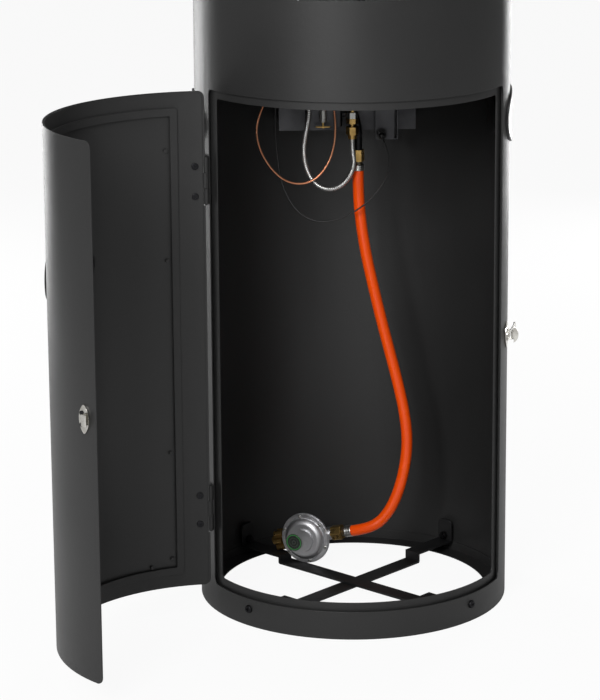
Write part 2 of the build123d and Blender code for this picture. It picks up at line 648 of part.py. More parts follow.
def build_keeper():
    """Keeper on the door: pointed plate with a folded hook and two black screws."""
    face = wall_plane(KEEPER_AZIMUTH, KEEPER_HEIGHT, SHELL_RADIUS + 0.35)
    top = face.offset(CATCH_SHEET)
    side = Plane(origin=face.origin, x_dir=face.x_dir, z_dir=face.y_dir)
    hook_height = 5.0
    with BuildPart() as keeper:
        add(pointed_plate(face))
        with BuildSketch(top):
            with Locations((4.6, 0)):
                Rectangle(9.2, 15.0)
        extrude(amount=hook_height)
        upright = keeper.edges().filter_by(Axis(face.origin, face.y_dir))
        fillet(upright.sort_by(Axis(face.origin, face.z_dir))[-2:], 1.2)
        with BuildSketch(side.offset(-10.0)):
            with Locations((6.5, -(CATCH_SHEET + 1.6))):
                Rectangle(7.0, 3.2)
        extrude(amount=20.0, mode=Mode.SUBTRACT)
        with BuildSketch(face.offset(-1.0)):
            with Locations((-3.6, 7.2), (-3.6, -7.2)):
                Circle(1.6)
        extrude(amount=10.0, mode=Mode.SUBTRACT)
    save("latch_keeper", swing(keeper.part))
    screws = []
    for offset in (7.2, -7.2):
        place = top.offset(0.1).from_local_coords((-3.6, offset, 0))
        seat = Plane(origin=place, x_dir=face.x_dir, z_dir=face.z_dir)
        screws.append(pan_screw(seat, 2.9, 1.8, 1.4, CATCH_SHEET + 0.3))
    save("keeper_screws", swing(group(screws)))


def build_latch():
    """Twist latch on the cabinet: base, turning claw and folding wing."""
    face = wall_plane(LATCH_AZIMUTH, LATCH_HEIGHT, SHELL_RADIUS + 0.35)
    top = face.offset(CATCH_SHEET)
    with BuildPart() as latch_base:
        add(pointed_plate(face))
        with BuildSketch(top):
            Circle(8.4)
            Circle(7.2, mode=Mode.SUBTRACT)
        extrude(amount=1.6)
        with BuildSketch(face):
            Circle(2.05)
        extrude(amount=5.0, mode=Mode.SUBTRACT)
    save("latch_base", latch_base.part)

    deck = top.offset(0.15)
    pivot_height = 6.4
    arm_height = 1.9
    arm = deck.offset(arm_height)
    ear = 5.4
    ear_radius = 2.2
    pivot = Plane(origin=deck.from_local_coords((0, -8.0, pivot_height)), x_dir=face.x_dir, z_dir=face.y_dir)
    with BuildPart() as latch_claw:
        with BuildSketch(deck):
            Circle(7.0)
        extrude(amount=2.0)
        with BuildSketch(deck):
            Circle(2.0)
        extrude(amount=-1.6)
        with BuildSketch(arm):
            with Locations((CLAW_REACH / 2, 0)):
                Rectangle(CLAW_REACH, CLAW_WIDTH)
        extrude(amount=CLAW_SHEET)
        with BuildSketch(arm.offset(CLAW_SHEET)):
            with Locations((CLAW_REACH - CLAW_SHEET / 2, 0)):
                Rectangle(CLAW_SHEET, CLAW_WIDTH)
        extrude(amount=-CLAW_TIP)
        with BuildSketch(arm):
            with Locations((0, ear), (0, -ear)):
                Rectangle(2 * ear_radius, EAR_SHEET)
        extrude(amount=pivot_height - arm_height)
        for offset in (ear, -ear):
            add(rod(pivot, ear_radius, EAR_SHEET, 8.0 + offset - EAR_SHEET / 2))
    save("latch_claw", latch_claw.part)

    tongue = ear - EAR_SHEET / 2 - 0.15
    side = Plane(origin=deck.from_local_coords((-0.7, 0, pivot_height)), x_dir=face.y_dir, z_dir=face.x_dir)
    with BuildPart() as latch_wing:
        add(rod(pivot, 1.5, 2 * tongue, 8.0 - tongue))
        with BuildSketch(side):
            with BuildLine():
                Polyline((-tongue, 0), (tongue, 0), (tongue, 2.4), (11.0, 2.4))
                ThreePointArc((11.0, 2.4), (0.0, 8.6), (-11.0, 2.4))
                Polyline((-11.0, 2.4), (-tongue, 2.4), (-tongue, 0))
            make_face()
        extrude(amount=1.4)
    save("latch_wing", latch_wing.part)


# ---- top plate and control group -----------------------------------------------------------
def build_top():
    """Plate that closes the cabinet."""
    with BuildPart() as top_plate:
        add(ring(BURNER_HOLE_RADIUS + 1.0, FITTED_RADIUS, TOP_PLATE_BOTTOM, TOP_PLATE_TOP))
        for azimuth in TOP_SCREW_AZIMUTHS:
            with BuildSketch(Plane(polar(TOP_SCREW_RADIUS, azimuth, TOP_PLATE_TOP))):
                Circle(SCREW_SHANK_RADIUS + SCREW_CLEARANCE)
            extrude(amount=-5.0, mode=Mode.SUBTRACT)
        for azimuth in POST_AZIMUTHS:
            with BuildSketch(Plane(polar(POST_CIRCLE, azimuth, TOP_PLATE_TOP))):
                Circle(POST_RADIUS * 0.5 + SCREW_CLEARANCE)
            extrude(amount=-5.0, mode=Mode.SUBTRACT)
    save("top_plate", top_plate.part)


def build_controls():
    """Control box, outside panel, valve with its spindle and knob, and the igniter."""
    box_depth = BOX_BACK - BOX_FRONT
    with BuildPart() as control_box:
        with BuildSketch(Plane.XY.offset(BOX_BOTTOM)):
            with Locations((0, BOX_FRONT + box_depth / 2)):
                Rectangle(2 * BOX_HALF_WIDTH, box_depth)
            with Locations((0, BOX_FRONT + box_depth / 2 + BOX_SHEET)):
                Rectangle(2 * (BOX_HALF_WIDTH - BOX_SHEET), box_depth, mode=Mode.SUBTRACT)
        extrude(amount=BOX_TOP - BOX_BOTTOM)
        add(spindle_hole, mode=Mode.SUBTRACT)
        add(igniter_hole, mode=Mode.SUBTRACT)
    save("control_box", control_box.part)

    inside = ring(0.5, OUTSIDE_FITTED, PANEL_BOTTOM - 1, PANEL_TOP + 1)
    with BuildPart() as control_panel:
        with BuildSketch(Plane.XZ.offset(-PANEL_FACE)):
            with Locations((0, (PANEL_BOTTOM + PANEL_TOP) / 2)):
                RectangleRounded(2 * PANEL_HALF_WIDTH, PANEL_TOP - PANEL_BOTTOM, PANEL_CORNER)
        extrude(amount=PANEL_FACE - SHELL_RADIUS + PANEL_HALF_WIDTH / 2)
        add(inside, mode=Mode.SUBTRACT)
        with BuildSketch(Plane.XZ.offset(-PANEL_FACE)):
            with Locations((0, (PANEL_BOTTOM + PANEL_TOP) / 2)):
                RectangleRounded(2 * (PANEL_HALF_WIDTH - PANEL_SHEET),
                                 PANEL_TOP - PANEL_BOTTOM - 2 * PANEL_SHEET, PANEL_CORNER - PANEL_SHEET)
        extrude(amount=-PANEL_SHEET)
        add(spindle_hole, mode=Mode.SUBTRACT)
        add(button_hole, mode=Mode.SUBTRACT)
    save("control_panel", control_panel.part)
    head_bottom = SPINDLE_HEIGHT - 10.0
    spindle_start = VALVE_Y - 4.5
    with BuildPart() as valve_body:
        with BuildSketch(Plane.XY.offset(VALVE_BOTTOM)):
            with Locations((VALVE_X, VALVE_Y)):
                RectangleRounded(VALVE_WIDTH, VALVE_DEPTH, 5.0)
        extrude(amount=VALVE_HEIGHT)
        with BuildSketch(Plane.XY.offset(head_bottom)):
            with Locations((VALVE_X - 7.0, OUTLET_Y)):
                RectangleRounded(46.0, 20.0, 4.0)
        extrude(amount=22.0)
        with BuildSketch(back_plane(SPINDLE_X, 60.0, SPINDLE_HEIGHT)):
            Circle(9.0)
        extrude(amount=6.0)
        socket = back_plane(SPINDLE_X, spindle_start - 0.5, SPINDLE_HEIGHT)
        add(rod(socket, SPINDLE_RADIUS + PIN_CLEARANCE, 20.0), mode=Mode.SUBTRACT)
    save("valve_body", valve_body.part)

    magnet_plane = Plane((SPINDLE_X, MAGNET_Y, head_bottom - SEAT), z_dir=(0, 0, -1))
    with BuildPart() as valve_magnet:
        add(rod(magnet_plane, 7.0, 8.0))
        add(rod(magnet_plane, 4.8, 38.4))
        for rib in (31.0, 34.0):
            add(rod(magnet_plane, 5.4, 1.4, rib))
    save("valve_magnet_unit", valve_magnet.part)
    with BuildPart() as test_nipple:
        add(rod(magnet_plane, 1.6, 6.2, 38.5))
        with BuildSketch(magnet_plane.offset(44.4)):
            SlotOverall(21.5, 6.0)
        extrude(amount=1.3)
        add(rod(magnet_plane, 2.6, 2.4, 44.4))
    save("valve_test_nipple", test_nipple.part)

    spindle_length = PANEL_OUTSIDE + 14.0 - spindle_start
    spindle_plane = back_plane(SPINDLE_X, spindle_start, SPINDLE_HEIGHT)
    save("valve_spindle", rod(spindle_plane, SPINDLE_RADIUS, spindle_length))
    knob_plane = back_plane(SPINDLE_X, PANEL_OUTSIDE + 0.8, SPINDLE_HEIGHT)
    with BuildPart() as control_knob:
        with BuildSketch(knob_plane):
            Circle(KNOB_RADIUS)
        extrude(amount=KNOB_DEPTH, taper=4.0)
        with BuildSketch(knob_plane.offset(7.0)):
            with Locations((14.5, 0), (-14.5, 0)):
                Rectangle(20.0, 60.0)
        extrude(amount=KNOB_DEPTH, mode=Mode.SUBTRACT)
        rim = control_knob.faces().sort_by(Axis.Y)[-1]
        fillet(rim.edges(), 1.5)
        with BuildSketch(knob_plane):
            Circle(SPINDLE_RADIUS + SCREW_CLEARANCE)
        extrude(amount=13.6, mode=Mode.SUBTRACT)
    save("control_knob", control_knob.part)

    igniter_plane = back_plane(IGNITER_X, IGNITER_START, IGNITER_HEIGHT)
    igniter_length = 70.0
    with BuildPart() as piezo_igniter:
        add(rod(igniter_plane, IGNITER_RADIUS, igniter_length))
        add(rod(igniter_plane, IGNITER_RADIUS + 1.4, 3.0, 6.0))
        cap = piezo_igniter.faces().sort_by(Axis.Y)[0]
        fillet(cap.edges(), 1.6)
    save("piezo_igniter", piezo_igniter.part)

    bracket_left = IGNITER_X - 8.0
    bracket_right = IGNITER_X + 18.0
    bracket_bottom = IGNITER_HEIGHT - 7.5
    bracket_width = bracket_right - bracket_left
    shelf_depth = BOX_FRONT - SEAT - BRACKET_Y
    shelf = BRACKET_TOP - BOX_SHEET
    with BuildPart() as igniter_bracket:
        with BuildSketch(Plane.XZ.offset(-BRACKET_Y)):
            with Locations(((bracket_left + bracket_right) / 2, (bracket_bottom + BRACKET_TOP) / 2)):
                Rectangle(bracket_width, BRACKET_TOP - bracket_bottom)
        extrude(amount=-BOX_SHEET)
        with BuildSketch(Plane.XY.offset(shelf)):
            with Locations(((bracket_left + bracket_right) / 2, BRACKET_Y + shelf_depth / 2)):
                Rectangle(bracket_width, shelf_depth)
        extrude(amount=BOX_SHEET)
        for bottom in (bracket_bottom, shelf):
            with BuildSketch(Plane.XY.offset(bottom)):
                with Locations((bracket_right + 2.5, BRACKET_Y + 6.0)):
                    Rectangle(5.0, 12.0)
            extrude(amount=BOX_SHEET)
        with BuildSketch(Plane.XY.offset(bracket_bottom)):
            with Locations((bracket_right + 4.25, BRACKET_Y + 6.0)):
                Rectangle(BOX_SHEET, 12.0)
        extrude(amount=BRACKET_TOP - bracket_bottom)
        add(rod(igniter_plane, IGNITER_RADIUS + 0.1, 20.0), mode=Mode.SUBTRACT)
    save("igniter_bracket", igniter_bracket.part)

    button_plane = back_plane(IGNITER_X, PANEL_OUTSIDE + BUTTON_TRAVEL + 1.0, IGNITER_HEIGHT)
    with BuildPart() as igniter_button:
        add(rod(button_plane, BUTTON_RADIUS, 5.0))
        crown = igniter_button.faces().sort_by(Axis.Y)[-1]
        fillet(crown.edges(), 1.5)
        stem = button_plane.origin.Y - IGNITER_START - igniter_length - BUTTON_TRAVEL - 1.0
        add(rod(button_plane, BUTTON_RADIUS * 0.4 - 0.4, -stem))
    save("igniter_button", igniter_button.part)


# ---- gas train -------------------------------------------------------------------------------
def build_flex_joint():
    """Threaded joint and rigid pipe that feed the burner, and the flexible tube below them."""
    down = Plane((FITTING_X, FITTING_Y, FITTING_TOP), z_dir=(0, 0, -1))
    save("pipe_union", hexagon(down, 14.5, 8.5, 0.5))
    nut_height = 10.8
    outlet_end = SPINDLE_HEIGHT - 10.0 - SEAT - nut_height
    outlet_nut = hexagon(Plane((OUTLET_X, OUTLET_Y, outlet_end)), 12.0, nut_height, 0.5)
    with BuildPart() as flex_fitting:
        add(hexagon(down, 15.0, 7.0, 0.5, 8.6))
        add(rod(down, 3.2, 5.0, 15.5))
        add(hexagon(down, 15.6, 10.5, 0.5, 20.0))
        add(rod(down, 6.2, 6.4, 30.4))
    save("flex_fittings", group([flex_fitting.part, outlet_nut]))
    flex_end = FITTING_TOP - 36.9
    flex_route = [(FITTING_X, FITTING_Y, flex_end), (FITTING_X, FITTING_Y, 601), (8, 72.5, 584),
                  (3, 73, 567), (-7, 73, 554), (-20, 73, 547), (-35, 73, 548), (-49, 73, 558),
                  (-58, 73, 576), (-62, 73, 600), (-59, 72, 625), (OUTLET_X, OUTLET_Y, 647),
                  (OUTLET_X, OUTLET_Y, outlet_end - SEAT)]
    save("burner_flex_tube", tube_along("burner_flex_tube", flex_route, FLEX_RADIUS))
    under_cup = BURNER_TOP - BURNER_CUP_DEPTH
    pipe_route = [(FITTING_X, FITTING_Y, FITTING_TOP + SEAT), (FITTING_X, FITTING_Y, under_cup - 47.0),
                  (4, 56, under_cup - 25.0), (1, 16, under_cup - 19.0), (0, 0, under_cup - 4.0),
                  (0, 0, BURNER_TOP + HEAD_LIFT + 1.4)]
    save("burner_pipe", tube_along("burner_pipe", pipe_route, PIPE_RADIUS))


def build_hose():
    """Inlet elbow under the valve, hose ends and the hose."""
    top = Vector(*HOSE_TOP)
    up = Plane(HOSE_TOP)
    with BuildPart() as ferrule:
        with BuildSketch(up.offset(0.1)):
            Circle(HOSE_RADIUS + FERRULE_WALL)
        extrude(amount=8.5)
        with BuildSketch(up.offset(0.1)):
            Circle(HOSE_RADIUS - HOSE_SPIGOT)
        extrude(amount=13.0)
    elbow_end = VALVE_X + VALVE_WIDTH / 2 + SEAT
    elbow_height = VALVE_BOTTOM + 17.0
    elbow_route = [top + Vector(0, 0, 29.3), top + Vector(0, 0, 58.0),
                   (elbow_end + 16.9, VALVE_Y, elbow_height), (elbow_end, VALVE_Y, elbow_height)]
    save("inlet_elbow", tube_along("inlet_elbow", elbow_route, ELBOW_RADIUS))

    port = regulator_plane().offset(-PORT_SETBACK)
    axis = port.x_dir
    start = port.from_local_coords((OUTLET_REACH, 0, 0))
    outlet = Plane(origin=port.origin, z_dir=axis)
    with BuildPart() as lower_ferrule:
        with BuildSketch(outlet.offset(OUTLET_REACH - 0.1)):
            Circle(HOSE_RADIUS + FERRULE_WALL)
        extrude(amount=-11.0)
        with BuildSketch(outlet.offset(OUTLET_REACH - 0.1)):
            Circle(HOSE_RADIUS - HOSE_SPIGOT)
        extrude(amount=-15.5)
    save("hose_ferrules", group([ferrule.part, lower_ferrule.part]))
    top_nut = hexagon(up, 15.0, 16.0, 0.5, 13.2)
    lower_nut = hexagon(outlet, 19.0, 15.0, 0.5, OUTLET_REACH - 31.0)
    save("hose_nuts", group([top_nut, lower_nut]))
    lead_in = start + axis * 25.0
    hose_route = [start, lead_in, (46, 42, 82), (63, 44, 110), (75, 48, 149), (80, 50, 191), (76, 53, 232),
                  (67, 57, 274), (56, 62, 318), (44.5, 66.5, 363), (34, 72, 408), (24, 78, 454),
                  (17, 84, 500), (14, 88, 540), HOSE_TOP]
    save("gas_hose", tube_along("gas_hose", hose_route, HOSE_RADIUS))


def regulator_plane():
    """Plane of the regulator: the dome faces local z, the outlet points along local x."""
    yaw = math.radians(REGULATOR_YAW)
    tilt = math.radians(REGULATOR_TILT)
    facing = Vector(math.sin(yaw), -math.cos(yaw), 0)
    level = Vector(math.cos(yaw), math.sin(yaw), 0)
    outlet = level * math.cos(tilt) + Vector(0, 0, math.sin(tilt))
    return Plane(origin=REGULATOR_CENTRE, x_dir=outlet, z_dir=facing)


def build_regulator():
    """Low-pressure regulator: body, bonnet, plain label, inlet stem and hand nut."""
    face = regulator_plane()
    port = face.offset(-PORT_SETBACK)
    right = Plane(origin=port.origin, z_dir=port.x_dir)
    left = Plane(origin=port.origin, z_dir=-port.x_dir)
    with BuildPart() as regulator_body:
        add(rod(face, REGULATOR_RADIUS, -3.0))
        with BuildSketch(face.offset(-2.9)):
            Circle(REGULATOR_RADIUS - 8.0)
        extrude(amount=-18.0, taper=8.0)
        add(rod(right, 9.0, OUTLET_REACH - 31.2))
        add(rod(left, 9.5, INLET_REACH))
        with BuildSketch(face):
            with PolarLocations(REGULATOR_SCREW_CIRCLE, 6, start_angle=30):
                Circle(REGULATOR_SCREW_RADIUS)
        extrude(amount=-3.0, mode=Mode.SUBTRACT)
    save("regulator_body", regulator_body.part)
    section = Plane(origin=face.origin, x_dir=face.x_dir, z_dir=-face.y_dir)
    rim = REGULATOR_RADIUS - 0.6
    label_floor = BONNET_RISE - 0.9
    label_seat = face.offset(label_floor).shift_origin(face.from_local_coords((-14.5, -2.0, label_floor)))
    with BuildPart() as regulator_bonnet:
        with BuildSketch(section):
            with BuildLine():
                Polyline((0, SEAT), (rim, SEAT), (rim, 2.6), (rim - 5.4, 2.6))
                ThreePointArc((rim - 5.4, 2.6), (rim - 7.6, 7.6), (rim - 13.0, BONNET_RISE))
                Polyline((rim - 13.0, BONNET_RISE), (0, BONNET_RISE), (0, SEAT))
            make_face()
        revolve(axis=Axis(face.origin, face.z_dir))
        with BuildSketch(face.offset(BONNET_RISE - 3.0)):
            with BuildLine():
                Line((0.0, -17.5), (0.0, 17.5))
                ThreePointArc((0.0, 17.5), (17.5, 0.0), (0.0, -17.5))
            make_face()
        extrude(amount=5.8, taper=14.0)
        with BuildSketch(face.offset(4.0)):
            with PolarLocations(REGULATOR_SCREW_CIRCLE, 6, start_angle=30):
                Circle(REGULATOR_SCREW_RADIUS)
        extrude(amount=-5.0, mode=Mode.SUBTRACT)
        add(rod(label_seat, 13.4, 6.0), mode=Mode.SUBTRACT)
    save("regulator_bonnet", regulator_bonnet.part)
    save("regulator_label", rod(label_seat, 12.2, 0.5, 0.05))
    rivets = []
    for angle in range(0, 360, 60):
        turned = math.radians(angle + 30)
        place = face.from_local_coords((REGULATOR_SCREW_CIRCLE * math.cos(turned),
                                        REGULATOR_SCREW_CIRCLE * math.sin(turned), 2.7))
        seat = Plane(origin=place, x_dir=face.x_dir, z_dir=face.z_dir)
        rivets.append(pan_screw(seat, 2.4, 1.4, REGULATOR_SCREW_RADIUS - SCREW_CLEARANCE, 5.6))
    save("regulator_screws", group(rivets))
    save("regulator_inlet_stem", rod(left, 5.2, 24.0, INLET_REACH + SEAT))
    with BuildPart() as hand_nut:
        with BuildSketch(left.offset(REGULATOR_RADIUS + HAND_NUT_GAP)):
            Circle(11.0)
            with PolarLocations(11.0, 6):
                Circle(4.4)
            Circle(5.2 + PIN_CLEARANCE, mode=Mode.SUBTRACT)
        extrude(amount=13.0)
        rims = hand_nut.faces().filter_by(GeomType.PLANE).sort_by(Axis(left.origin, left.z_dir))
        chamfer(rims[-1].outer_wire().edges(), 1.0)
    save("regulator_hand_nut", hand_nut.part)


def build_leads():
    """Thermocouple tube and ignition lead, each whole from end to end."""
    copper_route = [(-22.0, 68.0, 679.5), (-19.5, 68, 655), (-18, 67, 630), (-21, 66, 603), (-31, 64.5, 579),
                    (-47, 63.5, 562), (-67, 63, 556), (-89, 63, 562), (-108, 64, 580), (-122, 66, 605),
                    (-127, 69, 632), (-120, 71, 657), (-108, 72, 682), (-92, 66, 712), (-78, 54, 744),
                    (-66, 44, 772), (-58, 32, 800), (-56, 24, 830), (-52, 20, 856), (-40, 18, 874)]
    save("thermocouple_tube", tube_along("thermocouple_tube", copper_route, COPPER_RADIUS))
    lead_route = [(IGNITER_X, 75.9, IGNITER_HEIGHT), (IGNITER_X, 68, IGNITER_HEIGHT), (47.5, 62.5, 614),
                  (51.5, 61, 604), (55, 62, 590), (55, 63, 573),
                  (44, 63, 551), (24, 60, 529), (-5, 62, 510), (-36, 68, 501), (-63, 76, 508),
                  (-82, 84, 530), (-93, 92, 560), (-97, 99, 592), (-99, 102, 626), (-99, 101, 662), (-95, 96, 698),
                  (-86, 84, 734), (-70, 60, 766), (-52, 30, 792), (-42, 2, 818), (-44, -14, 846),
                  (-40.5, -17, 868)]
    save("ignition_lead", tube_along("ignition_lead", lead_route, LEAD_RADIUS))


# ---- burner section above the cabinet ---------------------------------------------------------
def build_burner():
    """Burner cup, burner head, electrode and thermocouple tip."""
    cup_bottom = BURNER_TOP - BURNER_CUP_DEPTH
    head_bottom = BURNER_TOP + HEAD_LIFT
    inner = BURNER_HOLE_RADIUS - CUP_SHEET
    with BuildPart() as burner_cup:
        add(ring(inner, BURNER_HOLE_RADIUS, cup_bottom, BURNER_TOP))
        add(ring(inner, BURNER_HOLE_RADIUS + CUP_FLANGE, TOP_PLATE_TOP + SEAT, BURNER_TOP))
        add(ring(2 * PIPE_RADIUS, BURNER_HOLE_RADIUS, cup_bottom, cup_bottom + CUP_SHEET))
        with BuildSketch(Plane.XY.offset(cup_bottom - 1)):
            with PolarLocations(48.0, 10, start_angle=18):
                Circle(7.0)
            with Locations((-57, 29), (-50, 28)):
                Circle(6.0)
            with Locations((-43, 6)):
                Circle(7.0)
        extrude(amount=4.0, mode=Mode.SUBTRACT)
    save("burner_cup", burner_cup.part)

    with BuildPart() as burner_head:
        with BuildSketch(Plane.XY.offset(head_bottom)):
            Circle(BURNER_HEAD_RADIUS)
        extrude(amount=BURNER_HEAD_HEIGHT)
        edge = burner_head.faces().sort_by(Axis.Z)[-1]
        fillet(edge.edges(), 3.0)
        with BuildSketch(Plane.XY.offset(head_bottom)):
            Circle(BURNER_HEAD_RADIUS - HEAD_SHEET)
        extrude(amount=BURNER_HEAD_HEIGHT - HEAD_SHEET, mode=Mode.SUBTRACT)
        with BuildSketch(Plane.XY.offset(head_bottom)):
            Circle(BURNER_HEAD_RADIUS - HEAD_SHEET)
            Circle(PIPE_RADIUS + PIPE_FIT, mode=Mode.SUBTRACT)
        extrude(amount=1.5)
        with BuildSketch(Plane.XY.offset(head_bottom + BURNER_HEAD_HEIGHT + 1)):
            with PolarLocations(12.0, 6):
                Circle(2.2)
            with PolarLocations(24.0, 12):
                Circle(2.2)
        extrude(amount=-2 * HEAD_SHEET, mode=Mode.SUBTRACT)
    save("burner_head", burner_head.part)

    electrode = rod(Plane((-40.5, -17.0, 868.2)), 1.6, 14.0)
    probe = Plane((-40.0, 18.0, 874.0), z_dir=(12.0, -2.0, 18.0))
    save("burner_probes", group([electrode, rod(probe, 2.2, 6.0, SEAT)]))


def build_glass():
    """Glass tube between two collars, the upper deck, posts, guard and rain cap."""
    glass_inner = GLASS_RADIUS - GLASS_WALL
    save("glass_tube", ring(glass_inner, GLASS_RADIUS, GLASS_BOTTOM, GLASS_TOP))
    collar_outer = GLASS_RADIUS + GLASS_CLEARANCE + 4.0
    with BuildPart() as lower_collar:
        add(ring(glass_inner - 2.0, collar_outer, BURNER_TOP + SEAT, BURNER_TOP + COLLAR_HEIGHT))
        add(ring(glass_inner - 3.0, GLASS_RADIUS + GLASS_CLEARANCE,
                 GLASS_BOTTOM - SEAT, GLASS_BOTTOM + 2 * COLLAR_HEIGHT), mode=Mode.SUBTRACT)
    with BuildPart() as upper_collar:
        add(ring(glass_inner - 2.0, collar_outer, DECK_BOTTOM - COLLAR_HEIGHT, DECK_BOTTOM - SEAT))
        add(ring(glass_inner - 3.0, GLASS_RADIUS + GLASS_CLEARANCE,
                 GLASS_TOP - 2 * COLLAR_HEIGHT, GLASS_TOP + SEAT), mode=Mode.SUBTRACT)
    save("glass_collars", group([lower_collar.part, upper_collar.part]))

    with BuildPart() as upper_deck:
        add(ring(glass_inner - 6.0, POST_CIRCLE + 14.0, DECK_BOTTOM, DECK_TOP))
        for azimuth in POST_AZIMUTHS:
            with BuildSketch(Plane(polar(POST_CIRCLE, azimuth, DECK_TOP + 1))):
                Circle(POST_RADIUS + SCREW_CLEARANCE)
            extrude(amount=-5.0, mode=Mode.SUBTRACT)
    save("upper_deck", upper_deck.part)

    posts = []
    nuts = []
    post_bottom = TOP_PLATE_TOP + SEAT
    cap_under = cap_underside(POST_CIRCLE + POST_RADIUS)
    for azimuth in POST_AZIMUTHS:
        place = polar(POST_CIRCLE, azimuth)
        foot = Plane(place + Vector(0, 0, post_bottom))
        with BuildPart() as post:
            with BuildSketch(foot):
                Circle(POST_RADIUS)
            extrude(amount=cap_under - SEAT - post_bottom)
            with BuildSketch(foot):
                Circle(POST_RADIUS * 0.5)
            extrude(amount=-12.0)
            with BuildSketch(foot.offset(cap_under - SEAT - post_bottom)):
                Circle(POST_RADIUS * 0.4)
            extrude(amount=14.0)
        posts.append(post.part)
        under = Plane(place + Vector(0, 0, TOP_PLATE_BOTTOM - SEAT), z_dir=(0, 0, -1))
        nuts.append(hexagon(under, 10.0, 5.0, POST_RADIUS * 0.5 + SEAT))
        with BuildPart() as seat_ring:
            with BuildSketch(Plane(place + Vector(0, 0, DECK_BOTTOM - SEAT), z_dir=(0, 0, -1))):
                Circle(POST_RADIUS + 3.0)
                Circle(POST_RADIUS + SEAT, mode=Mode.SUBTRACT)
            extrude(amount=4.0)
        nuts.append(seat_ring.part)
    save("guard_posts", group(posts))

    low = TOP_PLATE_TOP + SEAT
    high = DECK_BOTTOM - SEAT
    with BuildPart() as glass_guard:
        for bottom in (low, (low + high - GUARD_BAND) / 2, high - GUARD_BAND):
            add(ring(GUARD_RADIUS - GUARD_WIRE_RADIUS, GUARD_RADIUS + GUARD_WIRE_RADIUS,
                     bottom, bottom + GUARD_BAND))
        with BuildSketch(Plane.XY.offset(low)):
            with PolarLocations(GUARD_RADIUS, GUARD_WIRE_COUNT):
                Circle(GUARD_WIRE_RADIUS)
        extrude(amount=high - low)
    save("glass_guard", glass_guard.part)

    with BuildPart() as rain_cap:
        with BuildSketch(Plane.XZ):
            with BuildLine():
                Polyline((0, CAP_BOTTOM + CAP_RISE), (CAP_RADIUS, CAP_BOTTOM),
                         (CAP_RADIUS, CAP_BOTTOM - CAP_LIP), (CAP_RADIUS - CAP_SHEET, CAP_BOTTOM - CAP_LIP),
                         (CAP_RADIUS - CAP_SHEET, CAP_BOTTOM - CAP_SHEET),
                         (0, CAP_BOTTOM + CAP_RISE - CAP_SHEET), close=True)
            make_face()
        revolve(axis=Axis.Z)
        for azimuth in POST_AZIMUTHS:
            with BuildSketch(Plane(polar(POST_CIRCLE, azimuth, CAP_BOTTOM + CAP_RISE))):
                Circle(POST_RADIUS * 0.4 + SCREW_CLEARANCE)
            extrude(amount=-2 * CAP_RISE, mode=Mode.SUBTRACT)
    save("rain_cap", rain_cap.part)
    for azimuth in POST_AZIMUTHS:
        seat = Plane(polar(POST_CIRCLE, azimuth, cap_topside(POST_CIRCLE - 5.5) + SEAT))
        nuts.append(hexagon(seat, 9.0, 5.0, POST_RADIUS * 0.4 + SEAT))
    save("post_nuts", group(nuts))


def cap_underside(radius):
    """Height of the cap's underside at a radius."""
    return CAP_BOTTOM - CAP_SHEET + CAP_RISE * (1 - radius / (CAP_RADIUS - CAP_SHEET))


def cap_topside(radius):
    """Height of the cap's top face at a radius."""
    return CAP_BOTTOM + CAP_RISE * (1 - radius / CAP_RADIUS)


build_cabinet()
build_support()
build_door()
build_hinges()
build_keeper()
build_latch()
build_top()
build_controls()
build_flex_joint()
build_hose()
build_regulator()
build_leads()
build_burner()
build_glass()
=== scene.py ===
"""Looks of the outdoor gas heater: its finishes, its hose and tubes, its small details and its studio."""

import logging
import math
from dataclasses import dataclass, field
from enum import Enum
from typing import Callable, Mapping, Optional, Protocol, Sequence, Union

import bmesh
import bpy
import numpy as np
from mathutils import Matrix, Vector


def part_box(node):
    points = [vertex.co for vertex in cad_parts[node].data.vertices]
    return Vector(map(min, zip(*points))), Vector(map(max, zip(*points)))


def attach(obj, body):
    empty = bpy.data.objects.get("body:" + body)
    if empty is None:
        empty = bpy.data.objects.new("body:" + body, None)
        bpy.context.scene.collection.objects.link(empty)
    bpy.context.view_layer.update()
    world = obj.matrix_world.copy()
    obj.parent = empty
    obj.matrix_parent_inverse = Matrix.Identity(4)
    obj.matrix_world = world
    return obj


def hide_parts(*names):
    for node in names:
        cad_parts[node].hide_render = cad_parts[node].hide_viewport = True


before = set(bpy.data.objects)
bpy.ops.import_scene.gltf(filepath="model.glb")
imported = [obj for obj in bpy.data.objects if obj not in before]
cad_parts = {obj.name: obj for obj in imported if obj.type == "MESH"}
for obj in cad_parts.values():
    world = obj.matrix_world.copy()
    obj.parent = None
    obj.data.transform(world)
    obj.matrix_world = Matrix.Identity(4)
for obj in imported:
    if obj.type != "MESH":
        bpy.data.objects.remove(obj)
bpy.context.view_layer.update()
LOG = logging.getLogger("heater")

Point = tuple[float, float, float]
Colour = tuple[float, float, float]
Socket = bpy.types.NodeSocket
MM = 0.001
SAME_PLACE = 1e-7


class Body(Enum):
    """The bodies that the new pieces ride on."""

    CABINET = "cabinet"
    KNOB = "control_knob"


class Grain(Enum):
    """Direction of the fine lines that a tool leaves on a metal, as a stretch of the pattern."""

    NONE = (1.0, 1.0, 1.0)
    LEVEL = (0.05, 0.05, 1.0)


def tint(red: float, green: float, blue: float) -> Colour:
    """Turn a display colour into linear light.

    Args:
        red: Red from 0 to 255.
        green: Green from 0 to 255.
        blue: Blue from 0 to 255.

    Returns:
        The colour in linear light, by the usual display curve.
    """
    shown = np.array([red, green, blue]) / 255.0
    bright = ((shown + 0.055) / 1.055) ** 2.4
    return tuple(float(v) for v in np.where(shown <= 0.04045, shown / 12.92, bright))


def metres(point: Sequence[float]) -> tuple[float, ...]:
    """Turn millimetres into metres.

    Args:
        point: A place, or a pair of a profile.

    Returns:
        The same numbers in metres.
    """
    return tuple(v * MM for v in point)


# ---- materials ---------------------------------------------------------------------------


